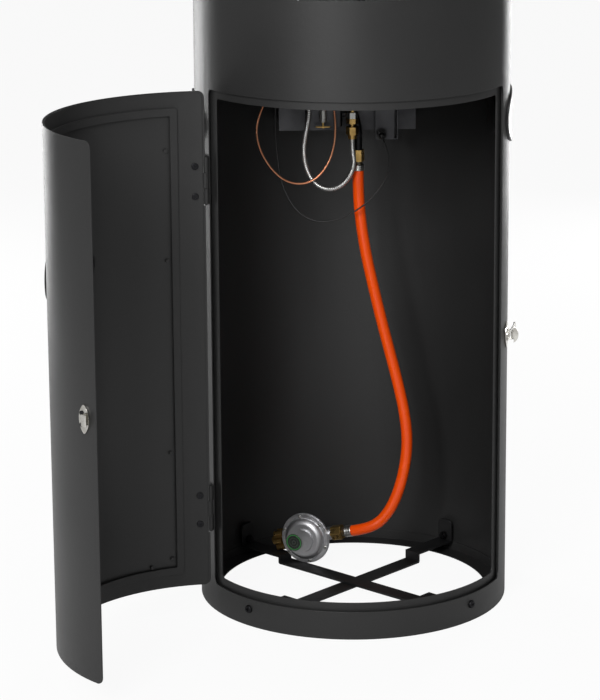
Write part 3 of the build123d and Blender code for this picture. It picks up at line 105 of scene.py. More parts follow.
class Graph:
    """A material's nodes, with a short call for each thing that the finishes share."""

    def __init__(self, name: str) -> None:
        """Start a material with one shader.

        Args:
            name: The material's name.
        """
        self.material = bpy.data.materials.new(name)
        self.material.use_nodes = True
        self.tree = self.material.node_tree
        self.shader = self.tree.nodes["Principled BSDF"]
        self.place: Socket = self.add("ShaderNodeTexCoord").outputs["Object"]

    def feed(self, socket: Socket, value: Union[Socket, float, Sequence[float]]) -> None:
        """Link a socket to another, or set it to a constant.

        Args:
            socket: The input to fill.
            value: An output to link, or a number or colour.
        """
        if isinstance(value, bpy.types.NodeSocket):
            self.tree.links.new(value, socket)
        else:
            socket.default_value = value

    def add(self, kind: str, inputs: Optional[Mapping[object, object]] = None,
            **settings: object) -> bpy.types.Node:
        """Add one node.

        Args:
            kind: The node's type.
            inputs: Values or links for its inputs, by name or number.
            **settings: Attributes of the node.

        Returns:
            The new node.
        """
        node = self.tree.nodes.new(kind)
        for key, value in settings.items():
            setattr(node, key, value)
        for key, value in (inputs or {}).items():
            self.feed(node.inputs[key], value)
        return node

    def stretched(self, scale: Point, centre: Point = (0.0, 0.0, 0.0)) -> Socket:
        """The piece's own coordinates, measured from a centre and then stretched.

        Args:
            scale: Stretch along X, Y and Z.
            centre: The point that becomes the pattern's origin.

        Returns:
            A vector output.
        """
        shift = tuple(-c * s for c, s in zip(centre, scale))
        node = self.add("ShaderNodeMapping", {"Vector": self.place, "Location": shift, "Scale": scale})
        return node.outputs["Vector"]

    def noise(self, scale: float, detail: float = 2.0, vector: Optional[Socket] = None) -> Socket:
        """Cloudy noise from 0 to 1.

        Args:
            scale: Clouds per metre.
            detail: Number of finer layers.
            vector: The coordinates, or none for the piece's own.

        Returns:
            A number output.
        """
        inputs = {"Vector": vector or self.place, "Scale": scale, "Detail": detail}
        return self.add("ShaderNodeTexNoise", inputs).outputs["Fac"]

    def spread(self, value: Socket, low: float, high: float, to_low: float, to_high: float) -> Socket:
        """Stretch a number from one range to another, held at both ends.

        Args:
            value: The number.
            low: Start of its range.
            high: End of its range.
            to_low: What low becomes.
            to_high: What high becomes.

        Returns:
            A number output.
        """
        inputs = {"Value": value, "From Min": low, "From Max": high, "To Min": to_low, "To Max": to_high}
        return self.add("ShaderNodeMapRange", inputs).outputs["Result"]

    def mix(self, share: Socket, first: Union[Socket, Colour], second: Union[Socket, Colour]) -> Socket:
        """Mix two colours.

        Args:
            share: How much of the second there is.
            first: The first colour.
            second: The second colour.

        Returns:
            A colour output.
        """
        ends = [c if isinstance(c, bpy.types.NodeSocket) else (*c, 1.0) for c in (first, second)]
        node = self.add("ShaderNodeMix", {0: share, 6: ends[0], 7: ends[1]}, data_type="RGBA")
        return node.outputs[2]

    def soft_edge(self, radius: float) -> Socket:
        """Surface direction with every hard edge rounded over.

        Args:
            radius: Radius of the rounding, in metres.

        Returns:
            A direction output.
        """
        return self.add("ShaderNodeBevel", {"Radius": radius}, samples=4).outputs["Normal"]

    def bump(self, height: Socket, depth: float, normal: Optional[Socket] = None) -> Socket:
        """Relief from a height pattern.

        Args:
            height: The pattern, from 0 to 1.
            depth: The relief's depth in metres.
            normal: The surface direction that it starts from.

        Returns:
            A direction output.
        """
        inputs: dict[object, object] = {"Height": height, "Distance": depth, "Strength": 1.0}
        if normal is not None:
            inputs["Normal"] = normal
        return self.add("ShaderNodeBump", inputs).outputs["Normal"]

    def finish(self, **sockets: object) -> bpy.types.Material:
        """Fill the shader's inputs and hand the material over.

        Args:
            **sockets: Inputs of the shader, with underscores for spaces.

        Returns:
            The material.
        """
        for key, value in sockets.items():
            name = key.replace("_", " ")
            self.feed(self.shader.inputs[name], (*value, 1.0) if isinstance(value, tuple) else value)
        return self.material


class Finish(Protocol):
    """What every finish has: a name, and a way to become a material."""

    name: str

    def make(self) -> bpy.types.Material:
        """Build the material.

        Returns:
            The material.
        """


@dataclass(frozen=True)
class PowderCoat:
    """Baked powder paint: a pebbled skin over cloudy gloss, with a few paler specks and soft edges."""

    name: str
    colour: Colour
    roughness: float = 0.46
    clouds: float = 5.0
    pebble: float = 900.0
    peel: float = 0.22
    speck: float = 0.55
    depth: float = 0.00006
    edge: float = 0.0009
    pale: float = 1.5
    paler: float = 2.4

    def make(self) -> bpy.types.Material:
        """Build the material: two sizes of pebble as relief, and clouds in gloss and colour.

        Returns:
            The material.
        """
        g = Graph(self.name)
        clouds = g.noise(self.clouds, 4.0)
        fine = g.noise(self.pebble, 2.0)
        peel = g.noise(self.pebble * self.peel, 2.0)
        cloud_colour = tuple(c * self.pale for c in self.colour)
        colour = g.mix(g.spread(clouds, 0.3, 0.75, 0.0, 0.35), self.colour, cloud_colour)
        specks = g.spread(g.noise(self.pebble * self.speck, 1.0), 0.71, 0.78, 0.0, 0.5)
        colour = g.mix(specks, colour, tuple(c * self.paler for c in self.colour))
        rough = g.spread(clouds, 0.25, 0.8, self.roughness - 0.05, self.roughness + 0.07)
        normal = g.bump(peel, self.depth * 1.4, g.soft_edge(self.edge))
        normal = g.bump(fine, self.depth, normal)
        return g.finish(Base_Color=colour, Roughness=rough, Normal=normal, Specular_IOR_Level=0.5)


@dataclass(frozen=True)
class Metal:
    """Bare or plated metal: tool lines or casting grain, with duller and darker patches."""

    name: str
    colour: Colour
    dull: Colour
    roughness: float = 0.3
    grain: Grain = Grain.NONE
    lines: float = 900.0
    depth: float = 0.00003
    patches: float = 60.0
    edge: float = 0.0004

    def make(self) -> bpy.types.Material:
        """Build the material: stretched noise as relief, and patches that dull the colour.

        Returns:
            The material.
        """
        g = Graph(self.name)
        patches = g.noise(self.patches, 4.0)
        lines = g.noise(self.lines, 3.0, g.stretched(self.grain.value))
        colour = g.mix(g.spread(patches, 0.42, 0.7, 0.0, 0.8), self.colour, self.dull)
        rough = g.spread(patches, 0.3, 0.75, self.roughness - 0.05, self.roughness + 0.12)
        normal = g.bump(lines, self.depth, g.soft_edge(self.edge))
        return g.finish(Base_Color=colour, Roughness=rough, Normal=normal, Metallic=1.0)


@dataclass(frozen=True)
class Moulded:
    """Moulded plastic, rubber or hose: a fine skin with faint, dustier flow marks."""

    name: str
    colour: Colour
    dusty: Colour
    roughness: float = 0.4
    skin: float = 1400.0
    depth: float = 0.00003
    edge: float = 0.0003
    flow: Point = (30.0, 30.0, 30.0)

    def make(self) -> bpy.types.Material:
        """Build the material: skin relief, and flow marks in colour and gloss.

        Returns:
            The material.
        """
        g = Graph(self.name)
        flow = g.noise(1.0, 4.0, g.stretched(self.flow))
        skin = g.noise(self.skin, 2.0)
        colour = g.mix(g.spread(flow, 0.35, 0.75, 0.0, 0.6), self.colour, self.dusty)
        rough = g.spread(flow, 0.3, 0.8, self.roughness - 0.05, self.roughness + 0.1)
        normal = g.bump(skin, self.depth, g.soft_edge(self.edge))
        return g.finish(Base_Color=colour, Roughness=rough, Normal=normal, Specular_IOR_Level=0.5)


@dataclass(frozen=True)
class ClearGlass:
    """Clear heat-proof glass with faint smears."""

    name: str = "clear_glass"
    colour: Colour = (0.93, 0.97, 0.96)
    bending: float = 1.47
    smear: Point = (1.0, 1.0, 0.3)

    def make(self) -> bpy.types.Material:
        """Build the material: full transmission, with smears that only change the gloss.

        Returns:
            The material.
        """
        g = Graph(self.name)
        rough = g.spread(g.noise(7.0, 5.0, g.stretched(self.smear)), 0.5, 0.8, 0.01, 0.07)
        return g.finish(Base_Color=self.colour, Roughness=rough, Transmission_Weight=1.0, IOR=self.bending)


@dataclass(frozen=True)
class Ring:
    """A printed ring: where it lies and its half width, as shares of the disc's radius."""

    at: float
    half: float
    colour: Colour


@dataclass(frozen=True)
class PrintedDisc:
    """Dark printed disc with a thin green ring and two plain grey rings inside it."""

    name: str
    centre: Point
    radius: float
    ground: Colour = tint(34, 37, 34)
    scuff: Colour = tint(120, 124, 120)
    rings: Sequence[Ring] = (
        Ring(0.86, 0.05, tint(70, 150, 80)),
        Ring(0.52, 0.02, tint(92, 96, 92)),
        Ring(0.2, 0.03, tint(92, 96, 92)),
    )
    soft: float = 1.3
    roughness: float = 0.34
    skin: float = 1500.0
    depth: float = 0.00001

    def make(self) -> bpy.types.Material:
        """Build the material: each ring is a band of the distance from the disc's centre.

        Returns:
            The material.
        """
        g = Graph(self.name)
        place = g.stretched(Grain.NONE.value, self.centre)
        distance = g.add("ShaderNodeVectorMath", {0: place}, operation="LENGTH").outputs["Value"]
        colour: Union[Socket, Colour] = self.ground
        for ring in self.rings:
            offset = g.add("ShaderNodeMath", {0: distance, 1: self.radius * ring.at}, operation="SUBTRACT")
            size = g.add("ShaderNodeMath", {0: offset.outputs[0]}, operation="ABSOLUTE").outputs[0]
            half = self.radius * ring.half
            colour = g.mix(g.spread(size, half, half * self.soft, 1.0, 0.0), colour, ring.colour)
        scuffs = g.spread(g.noise(500.0, 4.0), 0.55, 0.75, 0.0, 0.4)
        colour = g.mix(scuffs, colour, self.scuff)
        normal = g.bump(g.noise(self.skin), self.depth)
        return g.finish(Base_Color=colour, Roughness=self.roughness, Normal=normal)


@dataclass(frozen=True)
class Finishes:
    """Every finish on the heater."""

    coat: PowderCoat = PowderCoat("coat_black", tint(38, 38, 38), roughness=0.42)
    inner_coat: PowderCoat = PowderCoat("coat_inside", tint(37, 37, 37), roughness=0.5)
    bar_coat: PowderCoat = PowderCoat("coat_bars", tint(22, 22, 23), roughness=0.45, pebble=600.0)
    black_screw: Metal = Metal("blackened_screw", tint(52, 52, 54), tint(34, 34, 36), 0.42)
    nickel: Metal = Metal("nickel_plate", tint(214, 212, 206), tint(172, 168, 160), 0.2)
    zinc: Metal = Metal("zinc_plate", tint(190, 190, 186), tint(150, 150, 146), 0.34)
    cast: Metal = Metal("die_cast", tint(222, 222, 224), tint(196, 196, 199), 0.4, lines=1300.0,
                        depth=0.00008)
    brass: Metal = Metal("brass", tint(205, 170, 105), tint(150, 118, 66), 0.28)
    copper: Metal = Metal("copper_tube", tint(226, 160, 124), tint(186, 112, 80), 0.3, patches=35.0)
    ribbed: Metal = Metal("ribbed_steel", tint(222, 222, 220), tint(190, 190, 188), 0.36)
    sheet: Metal = Metal("galvanised_box", tint(78, 78, 80), tint(58, 58, 60), 0.42, patches=25.0)
    stainless: Metal = Metal("stainless", tint(196, 196, 194), tint(168, 168, 166), 0.3, grain=Grain.LEVEL)
    hose: Moulded = Moulded("hose_orange", tint(255, 86, 4), tint(250, 74, 2), 0.3)
    rubber: Moulded = Moulded("rubber_black", tint(11, 11, 12), tint(22, 22, 22), 0.45)
    plastic: Moulded = Moulded("plastic_black", tint(30, 30, 31), tint(44, 44, 45), 0.38)
    grip: Moulded = Moulded("grip_black", tint(19, 19, 20), tint(30, 30, 31), 0.33)
    marking: Moulded = Moulded("white_marking", tint(222, 222, 218), tint(198, 198, 194), 0.45)
    ceramic: Moulded = Moulded("ceramic", tint(226, 222, 212), tint(200, 190, 174), 0.35)
    glass: ClearGlass = ClearGlass()


class Paintbox:
    """Makes each finish once and puts it on pieces."""

    def __init__(self) -> None:
        """Start with no material made."""
        self.made: dict[str, bpy.types.Material] = {}

    def paint(self, piece: bpy.types.Object, finish: Finish) -> None:
        """Give a piece one finish.

        Args:
            piece: The piece or frame node.
            finish: The finish.
        """
        if finish.name not in self.made:
            self.made[finish.name] = finish.make()
        piece.data.materials.clear()
        piece.data.materials.append(self.made[finish.name])

    def mount(self, piece: bpy.types.Object, finish: Finish, body: Body, slot: str, *stands_for: str) -> None:
        """Paint a new piece, hang it on its body and hide the frame nodes that it replaces.

        Args:
            piece: The piece.
            finish: Its finish.
            body: The body that it rides on.
            slot: The record's slot for its material; not used.
            *stands_for: The frame nodes that it replaces.
        """
        self.paint(piece, finish)
        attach(piece, body.value)
        if stands_for:
            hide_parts(*stands_for)
        LOG.info("%s: %s", piece.name, finish.name)

    def nodes(self, finish: Finish, *names: str) -> None:
        """Give several frame nodes one finish.

        Args:
            finish: The finish.
            *names: The nodes' names.
        """
        for name in names:
            self.paint(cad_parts[name], finish)
            LOG.info("%s: %s", name, finish.name)


# ---- shapes ------------------------------------------------------------------------------


def solid_from_grid(name: str, rows: np.ndarray, closed: bool = False) -> bpy.types.Object:
    """Make a smooth mesh from rings of points.

    Each row is a ring, and each face joins four neighbours. The first and last rings are closed
    by a flat cap, unless the last ring joins the first. Points that fall together become one.

    Args:
        name: The piece's name.
        rows: Array of rings by points by 3.
        closed: Whether the last ring joins the first.

    Returns:
        The new object, at the origin.
    """
    count, around = rows.shape[:2]
    last = count if closed else count - 1
    i, j = np.meshgrid(np.arange(last), np.arange(around), indexing="ij")
    down, right = (i + 1) % count, (j + 1) % around
    faces = np.stack([i * around + j, i * around + right, down * around + right, down * around + j], -1)
    polygons = faces.reshape(-1, 4).tolist()
    if not closed:
        polygons.append(list(range(around))[::-1])
        polygons.append(list(range((count - 1) * around, count * around)))
    mesh = bpy.data.meshes.new(name)
    mesh.from_pydata(rows.reshape(-1, 3).tolist(), [], polygons)
    work = bmesh.new()
    work.from_mesh(mesh)
    bmesh.ops.remove_doubles(work, verts=work.verts, dist=SAME_PLACE)
    bmesh.ops.recalc_face_normals(work, faces=work.faces)
    work.to_mesh(mesh)
    work.free()
    mesh.polygons.foreach_set("use_smooth", np.ones(len(mesh.polygons), bool))
    piece = bpy.data.objects.new(name, mesh)
    bpy.context.scene.collection.objects.link(piece)
    return piece


def joined(name: str, pieces: Sequence[bpy.types.Object]) -> bpy.types.Object:
    """Join several meshes into one piece.

    Args:
        name: The new piece's name.
        pieces: The meshes, which are used up.

    Returns:
        The joined object.
    """
    work = bmesh.new()
    for piece in pieces:
        work.from_mesh(piece.data)
        mesh = piece.data
        bpy.data.objects.remove(piece)
        bpy.data.meshes.remove(mesh)
    mesh = bpy.data.meshes.new(name)
    work.to_mesh(mesh)
    work.free()
    whole = bpy.data.objects.new(name, mesh)
    bpy.context.scene.collection.objects.link(whole)
    return whole


def turned(name: str, profile: Sequence[tuple[float, float]], origin: Point, axis: Point,
           around: int = 48, closed: bool = False) -> bpy.types.Object:
    """Make a turned piece: a profile of radius and distance along an axis, carried round it.

    A point is origin + axis * distance + radius * (cos a * side + sin a * other).

    Args:
        name: The piece's name.
        profile: Pairs of radius and distance along the axis, in metres.
        origin: Where the distance is nought.
        axis: Direction of the axis.
        around: Points in each ring.
        closed: Whether the profile closes on itself, as a tube's wall does.

    Returns:
        The new object.
    """
    radius, along = np.array(profile, float).T
    forward = np.array(axis, float) / np.linalg.norm(axis)
    helper = np.array([1.0, 0, 0]) if abs(forward[0]) < 0.8 else np.array([0, 1.0, 0])
    side = np.cross(forward, helper)
    side /= np.linalg.norm(side)
    other = np.cross(forward, side)
    angle = np.linspace(0, 2 * math.pi, around, endpoint=False)
    spoke = np.cos(angle)[:, None] * side + np.sin(angle)[:, None] * other
    rows = np.array(origin) + along[:, None, None] * forward + radius[:, None, None] * spoke
    return solid_from_grid(name, rows, closed)


@dataclass
class Route:
    """A smooth line through space, pulled towards its control points."""

    points: Sequence[Point]
    fineness: int = 14
    facets: int = 8

    def curve(self, name: str, radius: float) -> bpy.types.Object:
        """Make the line as a round cord.

        Args:
            name: The piece's name.
            radius: The cord's radius in metres, or nought for the bare line.

        Returns:
            A curve object with one open spline.
        """
        data = bpy.data.curves.new(name, "CURVE")
        data.dimensions = "3D"
        spline = data.splines.new("NURBS")
        spline.points.add(len(self.points) - 1)
        flat = np.ones((len(self.points), 4))
        flat[:, :3] = np.array(self.points) * MM
        spline.points.foreach_set("co", flat.ravel())
        spline.order_u = 3
        spline.use_endpoint_u = True
        data.resolution_u = self.fineness
        data.render_resolution_u = self.fineness
        data.bevel_depth = radius
        data.bevel_resolution = self.facets
        data.use_fill_caps = True
        piece = bpy.data.objects.new(name, data)
        bpy.context.scene.collection.objects.link(piece)
        return piece

    def centreline(self) -> np.ndarray:
        """Read points off the bare line.

        Returns:
            The points in metres, in order.
        """
        bare = self.curve("bare_line", 0.0)
        bare.data.use_fill_caps = False
        bpy.context.view_layer.update()
        line = bpy.data.meshes.new_from_object(bare.evaluated_get(bpy.context.evaluated_depsgraph_get()))
        found = np.zeros(len(line.vertices) * 3)
        line.vertices.foreach_get("co", found)
        data = bare.data
        bpy.data.objects.remove(bare)
        bpy.data.curves.remove(data)
        bpy.data.meshes.remove(line)
        return found.reshape(-1, 3)


def carried(name: str, line: np.ndarray, step: float, radius_at: Callable[[np.ndarray], np.ndarray],
            across: Point, around: int) -> bpy.types.Object:
    """Carry a round section along a line, with a radius that changes on the way.

    The line is cut into equal steps. At each step the ring's side is the part of the fixed direction
    across that is square to the line, and its other side is square to both.

    Args:
        name: The piece's name.
        line: Points of the line.
        step: Distance between rings in metres.
        radius_at: Function from distances along the line to radii.
        across: A direction that the line never follows.
        around: Points in each ring.

    Returns:
        The new object.
    """
    run = np.concatenate([[0.0], np.cumsum(np.linalg.norm(np.diff(line, axis=0), axis=1))])
    along = np.linspace(0.0, run[-1], max(2, int(run[-1] / step)) + 1)
    centres = np.stack([np.interp(along, run, line[:, k]) for k in range(3)], -1)
    forward = np.gradient(centres, axis=0)
    forward /= np.linalg.norm(forward, axis=1, keepdims=True)
    side = np.array(across) - (forward @ np.array(across))[:, None] * forward
    side /= np.linalg.norm(side, axis=1, keepdims=True)
    other = np.cross(forward, side)
    angle = np.linspace(0, 2 * math.pi, around, endpoint=False)
    cosine, sine = (wave(angle)[None, :, None] for wave in (np.cos, np.sin))
    spoke = cosine * side[:, None, :] + sine * other[:, None, :]
    rows = centres[:, None, :] + radius_at(along)[:, None, None] * spoke
    return solid_from_grid(name, rows)


# ---- sub-assemblies ----------------------------------------------------------------------


@dataclass
class Cabinet:
    """Shell, rings, opening frame, handles, floor bars and hinges."""

    paint: Paintbox
    finishes: Finishes

    def dress(self) -> None:
        """Paint the fixed sheet metal and its fasteners."""
        f = self.finishes
        self.paint.nodes(f.coat, "outer_shell", "top_plate", "control_panel")
        self.paint.nodes(f.grip, "side_handles")
        self.paint.nodes(f.inner_coat, "opening_frame", "base_ring", "top_ring", "cabinet_hinge_leaves")
        self.paint.nodes(f.bar_coat, "lower_support_bar", "upper_support_bar")
        self.paint.nodes(f.black_screw, "hinge_pins", "cabinet_screws", "support_fasteners")


@dataclass
class Door:
    """Door skin with its frame, grip, studs, hinge leaves and keeper."""

    paint: Paintbox
    finishes: Finishes

    def dress(self) -> None:
        """Paint the door's sheets, screws and keeper."""
        f = self.finishes
        self.paint.nodes(f.coat, "door_skin")
        self.paint.nodes(f.grip, "door_handle")
        self.paint.nodes(f.inner_coat, "door_frame", "door_hinge_leaves", "door_weld_studs")
        self.paint.nodes(f.black_screw, "door_hinge_screws", "keeper_screws")
        self.paint.nodes(f.nickel, "latch_keeper")


@dataclass
class Latch:
    """Twist latch on the cabinet."""

    paint: Paintbox
    finishes: Finishes

    def dress(self) -> None:
        """Plate the latch."""
        self.paint.nodes(self.finishes.nickel, "latch_base", "latch_claw", "latch_wing")


@dataclass
class GasHose:
    """Low-pressure hose between the regulator and the elbow, with a crimped sleeve at each end.

    Places are in millimetres. The sleeve's profile is pairs of radius and distance from the hose's end: a
    crimped part with three grooves, then a plain neck. The lower sleeve is the same, made longer.
    """

    paint: Paintbox
    finishes: Finishes
    radius: float = 7.8
    length: float = 0.554
    start: Point = (3.1, 55.8, 61.5)
    aim: Point = (0.8567, -0.4555, 0.2419)
    top: Point = (14.0, 88.0, 570.0)
    seat: float = 0.1
    crimp_end: float = 8.61
    crimp_stretch: float = 1.27
    neck_shift: float = 2.3
    middle: Sequence[Point] = (
        (24.6, 44.4, 67.6), (46, 42, 82), (63, 44, 110), (75, 48, 149), (80, 50, 191), (76, 53, 232),
        (67, 57, 274), (56, 62, 318), (44.5, 66.5, 363), (34, 72, 408), (24, 78, 454), (17, 84, 500),
        (14, 88, 540))
    sleeve: Sequence[tuple[float, float]] = (
        (0.0, 0.0), (7.7, 0.0), (8.2, 0.4), (8.3, 1.2), (8.3, 2.0), (7.95, 2.6), (7.95, 3.3), (8.3, 3.9),
        (8.3, 4.7), (7.95, 5.3), (7.95, 6.0), (8.3, 6.6), (8.3, 7.5), (8.1, 8.2), (7.4, 8.5), (6.2, 8.6),
        (6.2, 12.9), (6.0, 13.1), (0.0, 13.1))

    def build(self) -> None:
        """Lay the hose and turn its two sleeves."""
        hose = Route([self.start, *self.middle, self.top]).curve("orange_hose", self.radius * MM)
        self.paint.mount(hose, self.finishes.hose, Body.CABINET, "hose_rubber", "gas_hose")
        self.sleeves()

    def longer(self, distance: float) -> float:
        """Distance along the lower sleeve that answers to one along the upper sleeve.

        Args:
            distance: Distance along the upper sleeve.

        Returns:
            The crimped part stretched, or the neck shifted.
        """
        if distance < self.crimp_end:
            return distance * self.crimp_stretch
        return distance + self.neck_shift

    def sleeves(self) -> None:
        """Turn the two crimped sleeves as one piece."""
        x, y, z = self.top
        upper = [metres(pair) for pair in self.sleeve]
        lower = [metres((radius, self.longer(distance))) for radius, distance in self.sleeve]
        low_end = [place - self.seat * way for place, way in zip(self.start, self.aim)]
        made = [
            turned("sleeve_top", upper, metres((x, y, z + self.seat)), (0, 0, 1)),
            turned("sleeve_low", lower, metres(low_end), tuple(-way for way in self.aim)),
        ]
        piece = joined("crimped_sleeves", made)
        self.paint.mount(piece, self.finishes.zinc, Body.CABINET, "zinc_plate", "hose_ferrules")


@dataclass
class BurnerFeed:
    """Ribbed tube, sensing tube and ignition lead that run up to the burner.

    Radii and places are in millimetres, and lengths are in metres. The boot's profile is pairs of radius
    and distance from the lead's start.
    """

    paint: Paintbox
    finishes: Finishes
    rib_pitch: float = 2.8
    rib_depth: float = 0.55
    rib_sharpness: float = 0.6
    rings_per_rib: int = 8
    ribbed_radius: float = 3.5
    ribbed_length: float = 0.227
    copper_radius: float = 1.5
    copper_length: float = 0.517
    lead_radius: float = 1.15
    lead_length: float = 0.628
    boot_profile: Sequence[tuple[float, float]] = (
        (0.0, 0.0), (4.4, 0.0), (4.6, 0.5), (4.6, 2.0), (4.1, 2.4), (4.1, 3.0), (4.4, 3.3), (4.3, 4.2),
        (3.8, 4.6), (3.8, 5.2), (4.0, 5.5), (3.7, 6.4), (2.6, 7.6), (1.6, 8.2), (0.0, 8.2))
    ribbed_points: Sequence[Point] = (
        (5, 72, 617.1), (5, 72, 601), (8, 72.5, 584), (3, 73, 567), (-7, 73, 554), (-20, 73, 547),
        (-35, 73, 548), (-49, 73, 558), (-58, 73, 576), (-62, 73, 600), (-59, 72, 625), (-54, 71, 647),
        (-54, 71, 669))
    copper_points: Sequence[Point] = (
        (-22, 68, 679.5), (-19.5, 68, 655), (-18, 67, 630), (-21, 66, 603), (-31, 64.5, 579),
        (-47, 63.5, 562), (-67, 63, 556), (-89, 63, 562), (-108, 64, 580), (-122, 66, 605), (-127, 69, 632),
        (-120, 71, 657), (-108, 72, 682), (-92, 66, 712), (-78, 54, 744), (-66, 44, 772), (-58, 32, 800),
        (-56, 24, 830), (-52, 20, 856), (-40, 18, 874))
    lead_points: Sequence[Point] = (
        (45.5, 75.9, 620.5), (45.5, 68, 620.5), (47.5, 62.5, 614), (51.5, 61, 604), (55, 62, 590),
        (55, 63, 573), (44, 63, 551), (24, 60, 529), (-5, 62, 510), (-36, 68, 501), (-63, 76, 508),
        (-82, 84, 530), (-93, 92, 560), (-97, 99, 592), (-99, 102, 626), (-99, 101, 662), (-95, 96, 698),
        (-86, 84, 734), (-70, 60, 766), (-52, 30, 792), (-42, 2, 818), (-44, -14, 846), (-40.5, -17, 868))

    def ribs(self, along: np.ndarray) -> np.ndarray:
        """Radius of the ribbed tube: full on each rib and lower between two, by a raised cosine.

        Args:
            along: Distances along the tube in metres.

        Returns:
            Radii in metres.
        """
        wave = 0.5 + 0.5 * np.cos(2 * math.pi * along / (self.rib_pitch * MM))
        return (self.ribbed_radius - self.rib_depth * (1 - wave**self.rib_sharpness)) * MM

    def build(self) -> None:
        """Carry the ribbed tube, bend the copper tube and lay the lead with its boot."""
        f, mount = self.finishes, self.paint.mount
        line = Route(self.ribbed_points).centreline()
        step = self.rib_pitch * MM / self.rings_per_rib
        ribbed = carried("ribbed_tube", line, step, self.ribs, (0.0, 1.0, 0.0), 20)
        mount(ribbed, f.ribbed, Body.CABINET, "braid_steel", "burner_flex_tube")
        copper = Route(self.copper_points).curve("copper_sensing_tube", self.copper_radius * MM)
        mount(copper, f.copper, Body.CABINET, "copper", "thermocouple_tube")
        lead = Route(self.lead_points).curve("black_ignition_lead", self.lead_radius * MM)
        mount(lead, f.rubber, Body.CABINET, "black_rubber", "ignition_lead")
        self.boot()

    def boot(self) -> bpy.types.Object:
        """Turn the lead's ribbed rubber boot on the igniter's terminal.

        Returns:
            The boot.
        """
        profile = [metres(pair) for pair in self.boot_profile]
        boot = turned("lead_boot", profile, metres(self.lead_points[0]), (0, -1, 0))
        self.paint.mount(boot, self.finishes.rubber, Body.CABINET, "black_rubber")
        return boot


@dataclass
class GasTrain:
    """Regulator, valve, fittings and igniter."""

    paint: Paintbox
    finishes: Finishes

    def dress(self) -> None:
        """Paint the castings, brass, plated and black parts, and print the regulator's disc."""
        f = self.finishes
        self.paint.nodes(f.cast, "regulator_body", "regulator_bonnet")
        self.paint.nodes(f.zinc, "regulator_screws", "valve_magnet_unit", "pipe_union", "valve_spindle")
        self.paint.nodes(f.brass, "regulator_inlet_stem", "regulator_hand_nut", "hose_nuts", "flex_fittings",
                         "valve_test_nipple", "burner_pipe")
        self.paint.nodes(f.sheet, "control_box", "igniter_bracket", "valve_body")
        self.paint.nodes(f.black_screw, "inlet_elbow")
        self.paint.nodes(f.plastic, "piezo_igniter", "igniter_button", "control_knob")
        low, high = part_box("regulator_label")
        centre = (low + high) / 2
        disc = PrintedDisc("regulator_disc", tuple(centre), (high - low).z / 2)
        self.paint.nodes(disc, "regulator_label")


@dataclass
class Controls:
    """White pointer on the knob and the dial's marks on the panel, in millimetres."""

    paint: Paintbox
    finishes: Finishes
    marks: int = 9
    ring: float = 31.0
    end_mark: float = 1.9
    mark: float = 1.1
    mark_sink: float = 0.1
    mark_rim: float = 0.25
    mark_top: float = 0.4
    mark_face: float = 0.8
    pointer_start: float = 5.0
    pointer_length: float = 15.0
    pointer_half: float = 0.9
    pointer_proud: float = 0.15
    pointer_depth: float = 0.6

    def build(self) -> None:
        """Lay the dial's marks and the pointer."""
        low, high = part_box("control_knob")
        centre = (low + high) / 2
        self.dial(centre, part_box("control_panel")[1].y)
        self.pointer(centre, high.y)

    def dial(self, centre: Vector, face: float) -> None:
        """Turn the marks: low discs on a half circle over the knob, larger at both ends.

        Args:
            centre: The knob's centre.
            face: Where the panel's face lies along Y.
        """
        dots = []
        for number, angle in enumerate(math.pi + np.linspace(0, math.pi, self.marks)):
            size = self.end_mark if number in (0, self.marks - 1) else self.mark
            x = centre.x + self.ring * MM * math.cos(angle)
            z = centre.z - self.ring * MM * math.sin(angle)
            rim = [(0.0, 0.0), (size, 0.0), (size, self.mark_rim), (size * self.mark_face, self.mark_top),
                   (0.0, self.mark_top)]
            place = (x, face - self.mark_sink * MM, z)
            dots.append(turned(f"dot_{number}", [metres(pair) for pair in rim], place, (0, 1, 0), 20))
        self.paint.mount(joined("dial_marks", dots), self.finishes.marking, Body.CABINET, "label_ink")

    def pointer(self, centre: Vector, face: float) -> None:
        """Make the pointer: a thin bar whose half width grows as a sine from its inner tip.

        Args:
            centre: The knob's centre.
            face: Where the knob's face lies along Y.
        """
        t = np.linspace(0, 1, 9)
        half = self.pointer_half * MM * np.sin(np.clip(t * 6, 0, math.pi / 2))
        run = centre.z + (self.pointer_start + self.pointer_length * t) * MM
        top = np.full_like(t, face + self.pointer_proud * MM)
        under = top - self.pointer_depth * MM
        corners = ((-1, top), (1, top), (1, under), (-1, under))
        ring = np.stack([np.stack([centre.x + side * half, depth, run], -1) for side, depth in corners], 1)
        pointer = solid_from_grid("knob_pointer", ring)
        self.paint.mount(pointer, self.finishes.marking, Body.KNOB, "label_ink")


